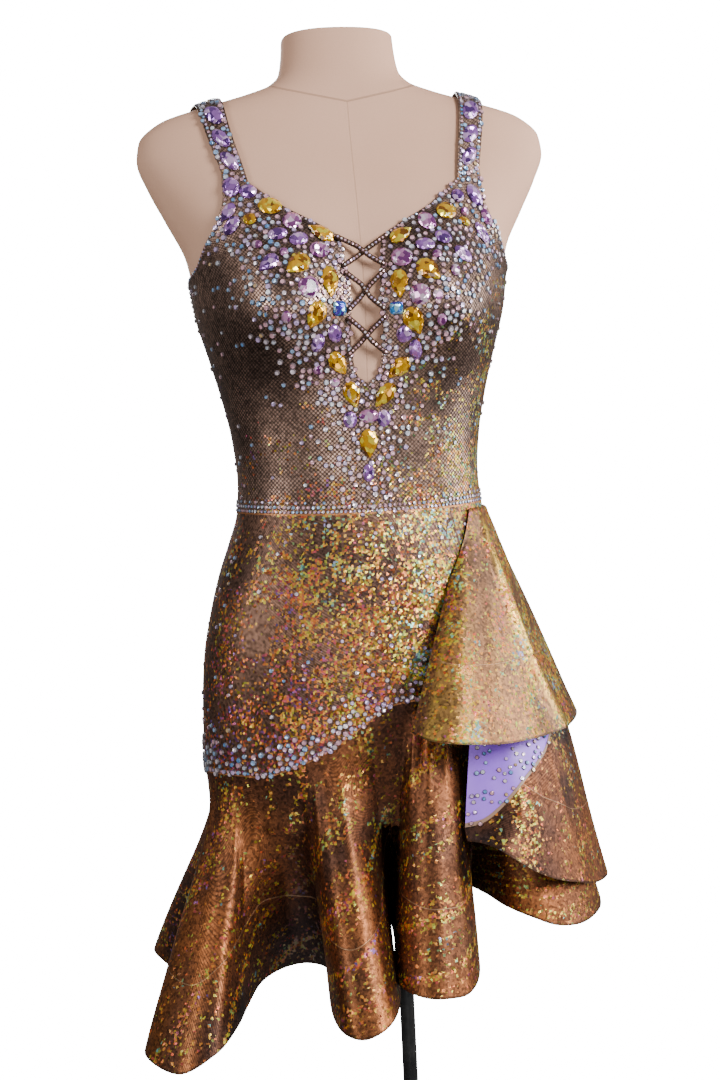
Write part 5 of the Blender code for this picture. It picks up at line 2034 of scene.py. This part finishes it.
class DANCEDRESS_OT_strewn_crystals(bpy.types.Operator):
    """Strew small crystals over the bodice, the yoke and the petal"""

    bl_idname = "dance_dress.strewn_crystals"
    bl_label = "Strewn crystals"

    def execute(self, context):
        front, back = front_cloth(CLOTH_OUT), back_cloth(CLOTH_OUT)
        shares = [front_share(front.points), np.full(back.points.shape[:2], BACK_SHARE)]
        strew("bodice_crystals", [front, back], shares, 0)
        straps = [strap_piece(side, STRAP_OUT) for side in STRAP_SIDES]
        shares = [np.ones(strap.points.shape[:2]) for strap in straps]
        for share in shares:
            share[:, [0, -1]] = 0.0
        strew("strap_covering_crystals", straps, shares, 6)
        yokes = [yoke_cloth(-90, 90, CLOTH_OUT), yoke_cloth(90, 270, CLOTH_OUT)]
        shares = [yoke_share(yoke.points[..., 2]) for yoke in yokes]
        strew("yoke_crystals", yokes, shares, 1)
        petal = petal_cloth(LAYER_OUT)
        share = np.where(petal.points[..., 2] < PETAL_CRYSTAL_TOP, PETAL_SHARE, 0.0)
        share[-2:] = share[:, :2] = share[:, -2:] = 0
        strew("petal_crystals", [petal], [share], 2, PETAL_CRYSTAL_SCALE)
        return {"FINISHED"}


# Crystals in rows: each waist row's height above the seam, its pitch and its crystals' size, and
# the turns between which a row lies along the yoke's edge, with its height above that.
WAIST_ROWS = (3.2, 4.2, 3.6), (7.6, 4.8, 4.0), (12.0, 9.0, 3.6)
YOKE_ROW_SPAN, YOKE_ROW_ABOVE = (-242, 38), 3.5
# Pitch and crystal size of the other rows, and how far out of the cord its crystals sit.
YOKE_ROW, STRAP_ROW, LACE_ROW = (4.6, 3.6), (4.2, 3.4), (3.6, 2.8)
FRONT_EDGE_ROW, BACK_EDGE_ROW = (4.2, 3.0), (4.6, 3.0)
LACE_ROW_OUT = 0.96


def edge_lines():
    """Rows of crystals beside the bodice's edges and seams."""
    lines = []
    turns = steps(361, -180, 180)
    for above, pitch, size in WAIST_ROWS:
        lines.append(form_line(waist_height(turns) + above, turns, pitch, size))
    turns = steps(301, *YOKE_ROW_SPAN)
    lines.append(form_line(yoke_edge(turns) + YOKE_ROW_ABOVE, turns, *YOKE_ROW))
    front, back = front_cloth(CLOTH_FACE), back_cloth(CLOTH_FACE)
    half = Cloth(front.points[:, FRONT_FINE_COLUMNS:])
    keyhole, neck = (row * FINE_PER_ROW for row in KEYHOLE_ROWS)
    lines += both_sides(half, (("first", keyhole), ("last", neck)), FRONT_EDGE_ROW)
    half = Cloth(back.points[:, :BACK_FINE_COLUMNS])
    neck = BACK_NECK_ROW * FINE_PER_ROW
    return lines + both_sides(half, (("last", neck), ("first", neck)), BACK_EDGE_ROW)


def form_line(height, turns, pitch, size):
    """A line round the form, on the cloth's face."""
    points = on_form(height, turns, CLOTH_FACE)
    return points, unit(points - on_form(height, turns, 0)), pitch, size


def both_sides(half, edges, row):
    """Lines inside the edges of one half, and their mirror images."""
    lines = []
    for side, start in edges:
        points, normals = half.line(side, start)
        lines.append((points, normals, *row))
        lines.append((mirrored(points), mirrored(normals), *row))
    return lines


def strap_lines():
    lines = []
    for side in STRAP_SIDES:
        for edge in ("first", "last"):
            lines.append((*strap_piece(side, STRAP_OUT + WALL).line(edge), *STRAP_ROW))
    return lines


def lace_lines():
    lines = []
    for _, route in lace_routes():
        away = unit(route - surface(route[:, 2], turn_of(route[:, 0], route[:, 2])))
        lines.append((route + away * LACE_RADIUS * LACE_ROW_OUT, away, *LACE_ROW))
    return lines


class DANCEDRESS_OT_crystal_rows(bpy.types.Operator):
    """Set rows of small crystals beside the seams, on the straps and along the lacing"""

    bl_idname = "dance_dress.crystal_rows"
    bl_label = "Crystal rows"

    def execute(self, context):
        string_rows("edge_crystals", edge_lines(), 3)
        string_rows("strap_crystals", strap_lines(), 4)
        string_rows("lacing_crystals", lace_lines(), 5)
        return {"FINISHED"}


class DANCEDRESS_OT_studio(bpy.types.Operator):
    """Set up the floor, the lights and the camera"""

    bl_idname = "dance_dress.studio"
    bl_label = "Studio"

    def execute(self, context):
        make_floor()
        make_lamps()
        make_backdrop()
        make_camera()
        return {"FINISHED"}


def make_floor():
    studio = bpy.context.scene.dance_dress_studio
    made = Finish("studio_floor", Specular_IOR_Level=0.3)
    tone = made.cloud(3.0, 4.0)
    colour = (*studio.floor_colour, 1)
    darker = (*(part * 0.96 for part in studio.floor_colour), 1)
    made.finish(made.mix(tone, colour, darker), 0.7, made.bump(made.cloud(300.0), 0.0002, 0.3))
    away = made.add("ShaderNodeVectorMath", {0: made.place}, operation="LENGTH").outputs["Value"]
    made.feed(made.shader, "Alpha", made.span(away, 0.95, 0.35, kind="SMOOTHSTEP"))
    corners = np.array([(-1, -1, 0), (1, -1, 0), (1, 1, 0), (-1, 1, 0)])
    floor = add_mesh("studio_floor", corners, [(0, 1, 2, 3)])
    floor.data.materials.append(made.material)
    floor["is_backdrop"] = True


LAMPS = table(
    "name place size share",
    ("main_lamp", (1.5, -1.9, 1.9), 1.0, 1.0),
    ("side_lamp", (-1.9, -1.1, 1.5), 0.8, 0.22),
    ("low_lamp", (-0.3, -2.6, 0.6), 1.0, 0.16),
    ("window_lamp", (2.1, -0.2, 1.2), 1.5, 0.5),
    ("back_lamp", (-0.4, 1.9, 2.0), 1.0, 0.6),
)
LAMP_AIM = Vector((0, 0, 0.95))
ROOM_TONES = (0.0, (0.10, 0.09, 0.085)), (0.46, (0.22, 0.21, 0.20)), (1.0, (0.55, 0.55, 0.57))
ROOM_STRENGTH = 0.55
PICTURE_WIDTH = 36.0


def make_lamps():
    studio = bpy.context.scene.dance_dress_studio
    for lamp in LAMPS:
        light = bpy.data.lights.new(lamp.name, "AREA")
        light.shape = "DISK"
        light.size = lamp.size
        light.energy = studio.lamp_power * lamp.share
        obj = add_object(lamp.name, light)
        obj.location = lamp.place
        obj.rotation_euler = (LAMP_AIM - obj.location).to_track_quat("-Z", "Y").to_euler()


def make_backdrop():
    """A bright backdrop for the camera, and a dimmer room with a darker floor for reflections."""
    world = bpy.data.worlds.new("studio_room")
    world.use_nodes = True
    bpy.context.scene.world = world
    made = Nodes(world.node_tree)
    room = world.node_tree.nodes["Background"]
    place = made.add("ShaderNodeTexCoord").outputs["Generated"]
    height = made.add("ShaderNodeSeparateXYZ", {0: place}).outputs["Z"]
    made.feed(room, "Color", made.ramp(made.span(height, -1, 1), ROOM_TONES))
    made.feed(room, "Strength", ROOM_STRENGTH)
    strength = bpy.context.scene.dance_dress_studio.backdrop
    bright = made.add("ShaderNodeBackground", {"Color": (1, 1, 1, 1), "Strength": strength})
    seen = made.add("ShaderNodeLightPath").outputs["Is Camera Ray"]
    both = made.add("ShaderNodeMixShader", {0: seen, 1: room.outputs[0], 2: bright.outputs[0]})
    made.feed(world.node_tree.nodes["World Output"], "Surface", both.outputs[0])


def make_camera():
    studio = bpy.context.scene.dance_dress_studio
    turn, dip, roll = studio.camera_turn, studio.camera_dip, studio.camera_roll
    ahead = Vector((math.sin(turn) * math.cos(dip), math.cos(turn) * math.cos(dip), -math.sin(dip)))
    right = Vector((math.cos(turn), -math.sin(turn), 0))
    up = right.cross(ahead)
    leaned_right = right * math.cos(roll) - up * math.sin(roll)
    leaned_up = up * math.cos(roll) + right * math.sin(roll)
    camera = bpy.data.cameras.new("studio_camera")
    camera.lens = studio.focal_length
    camera.sensor_width = PICTURE_WIDTH
    obj = add_object("studio_camera", camera)
    axes = Matrix((leaned_right, leaned_up, -ahead)).transposed()
    obj.matrix_world = Matrix.Translation(studio.camera_place) @ axes.to_4x4()
    bpy.context.scene.camera = obj


OPERATORS = (
    DANCEDRESS_OT_form,
    DANCEDRESS_OT_stand,
    DANCEDRESS_OT_bodice,
    DANCEDRESS_OT_straps,
    DANCEDRESS_OT_lacing,
    DANCEDRESS_OT_yoke,
    DANCEDRESS_OT_main_flounce,
    DANCEDRESS_OT_petal,
    DANCEDRESS_OT_cape,
    DANCEDRESS_OT_stones,
    DANCEDRESS_OT_strewn_crystals,
    DANCEDRESS_OT_crystal_rows,
    DANCEDRESS_OT_studio,
)


class DANCEDRESS_PT_panel(bpy.types.Panel):
    """Lists the dress's pieces and their settings"""

    bl_idname = "DANCEDRESS_PT_panel"
    bl_label = "Dance Dress"
    bl_space_type = "VIEW_3D"
    bl_region_type = "UI"
    bl_category = "Dance Dress"

    def draw(self, context):
        for operator in OPERATORS:
            self.layout.operator(operator.bl_idname)
        for name in SETTINGS:
            group = getattr(context.scene, name)
            box = self.layout.box()
            for key in group.bl_rna.properties.keys():
                if key not in ("rna_type", "name"):
                    box.prop(group, key)


SETTINGS = {
    "dance_dress_cloth": DanceDressCloth,
    "dance_dress_crystals": DanceDressCrystals,
    "dance_dress_studio": DanceDressStudio,
}
CLASSES = (*SETTINGS.values(), *OPERATORS, DANCEDRESS_PT_panel)


def register():
    for cls in CLASSES:
        bpy.utils.register_class(cls)
    for name, group in SETTINGS.items():
        setattr(bpy.types.Scene, name, PointerProperty(type=group))


def unregister():
    for name in SETTINGS:
        delattr(bpy.types.Scene, name)
    for cls in reversed(CLASSES):
        bpy.utils.unregister_class(cls)


def main():
    register()
    for operator in OPERATORS:
        group, name = operator.bl_idname.split(".")
        getattr(getattr(bpy.ops, group), name)()
    boxes = {"cad": CAD_BOX, "visual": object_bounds()}
    sizes = {key: [list(corner) for corner in box] for key, box in boxes.items()}


if __name__ == "__main__":
    main()
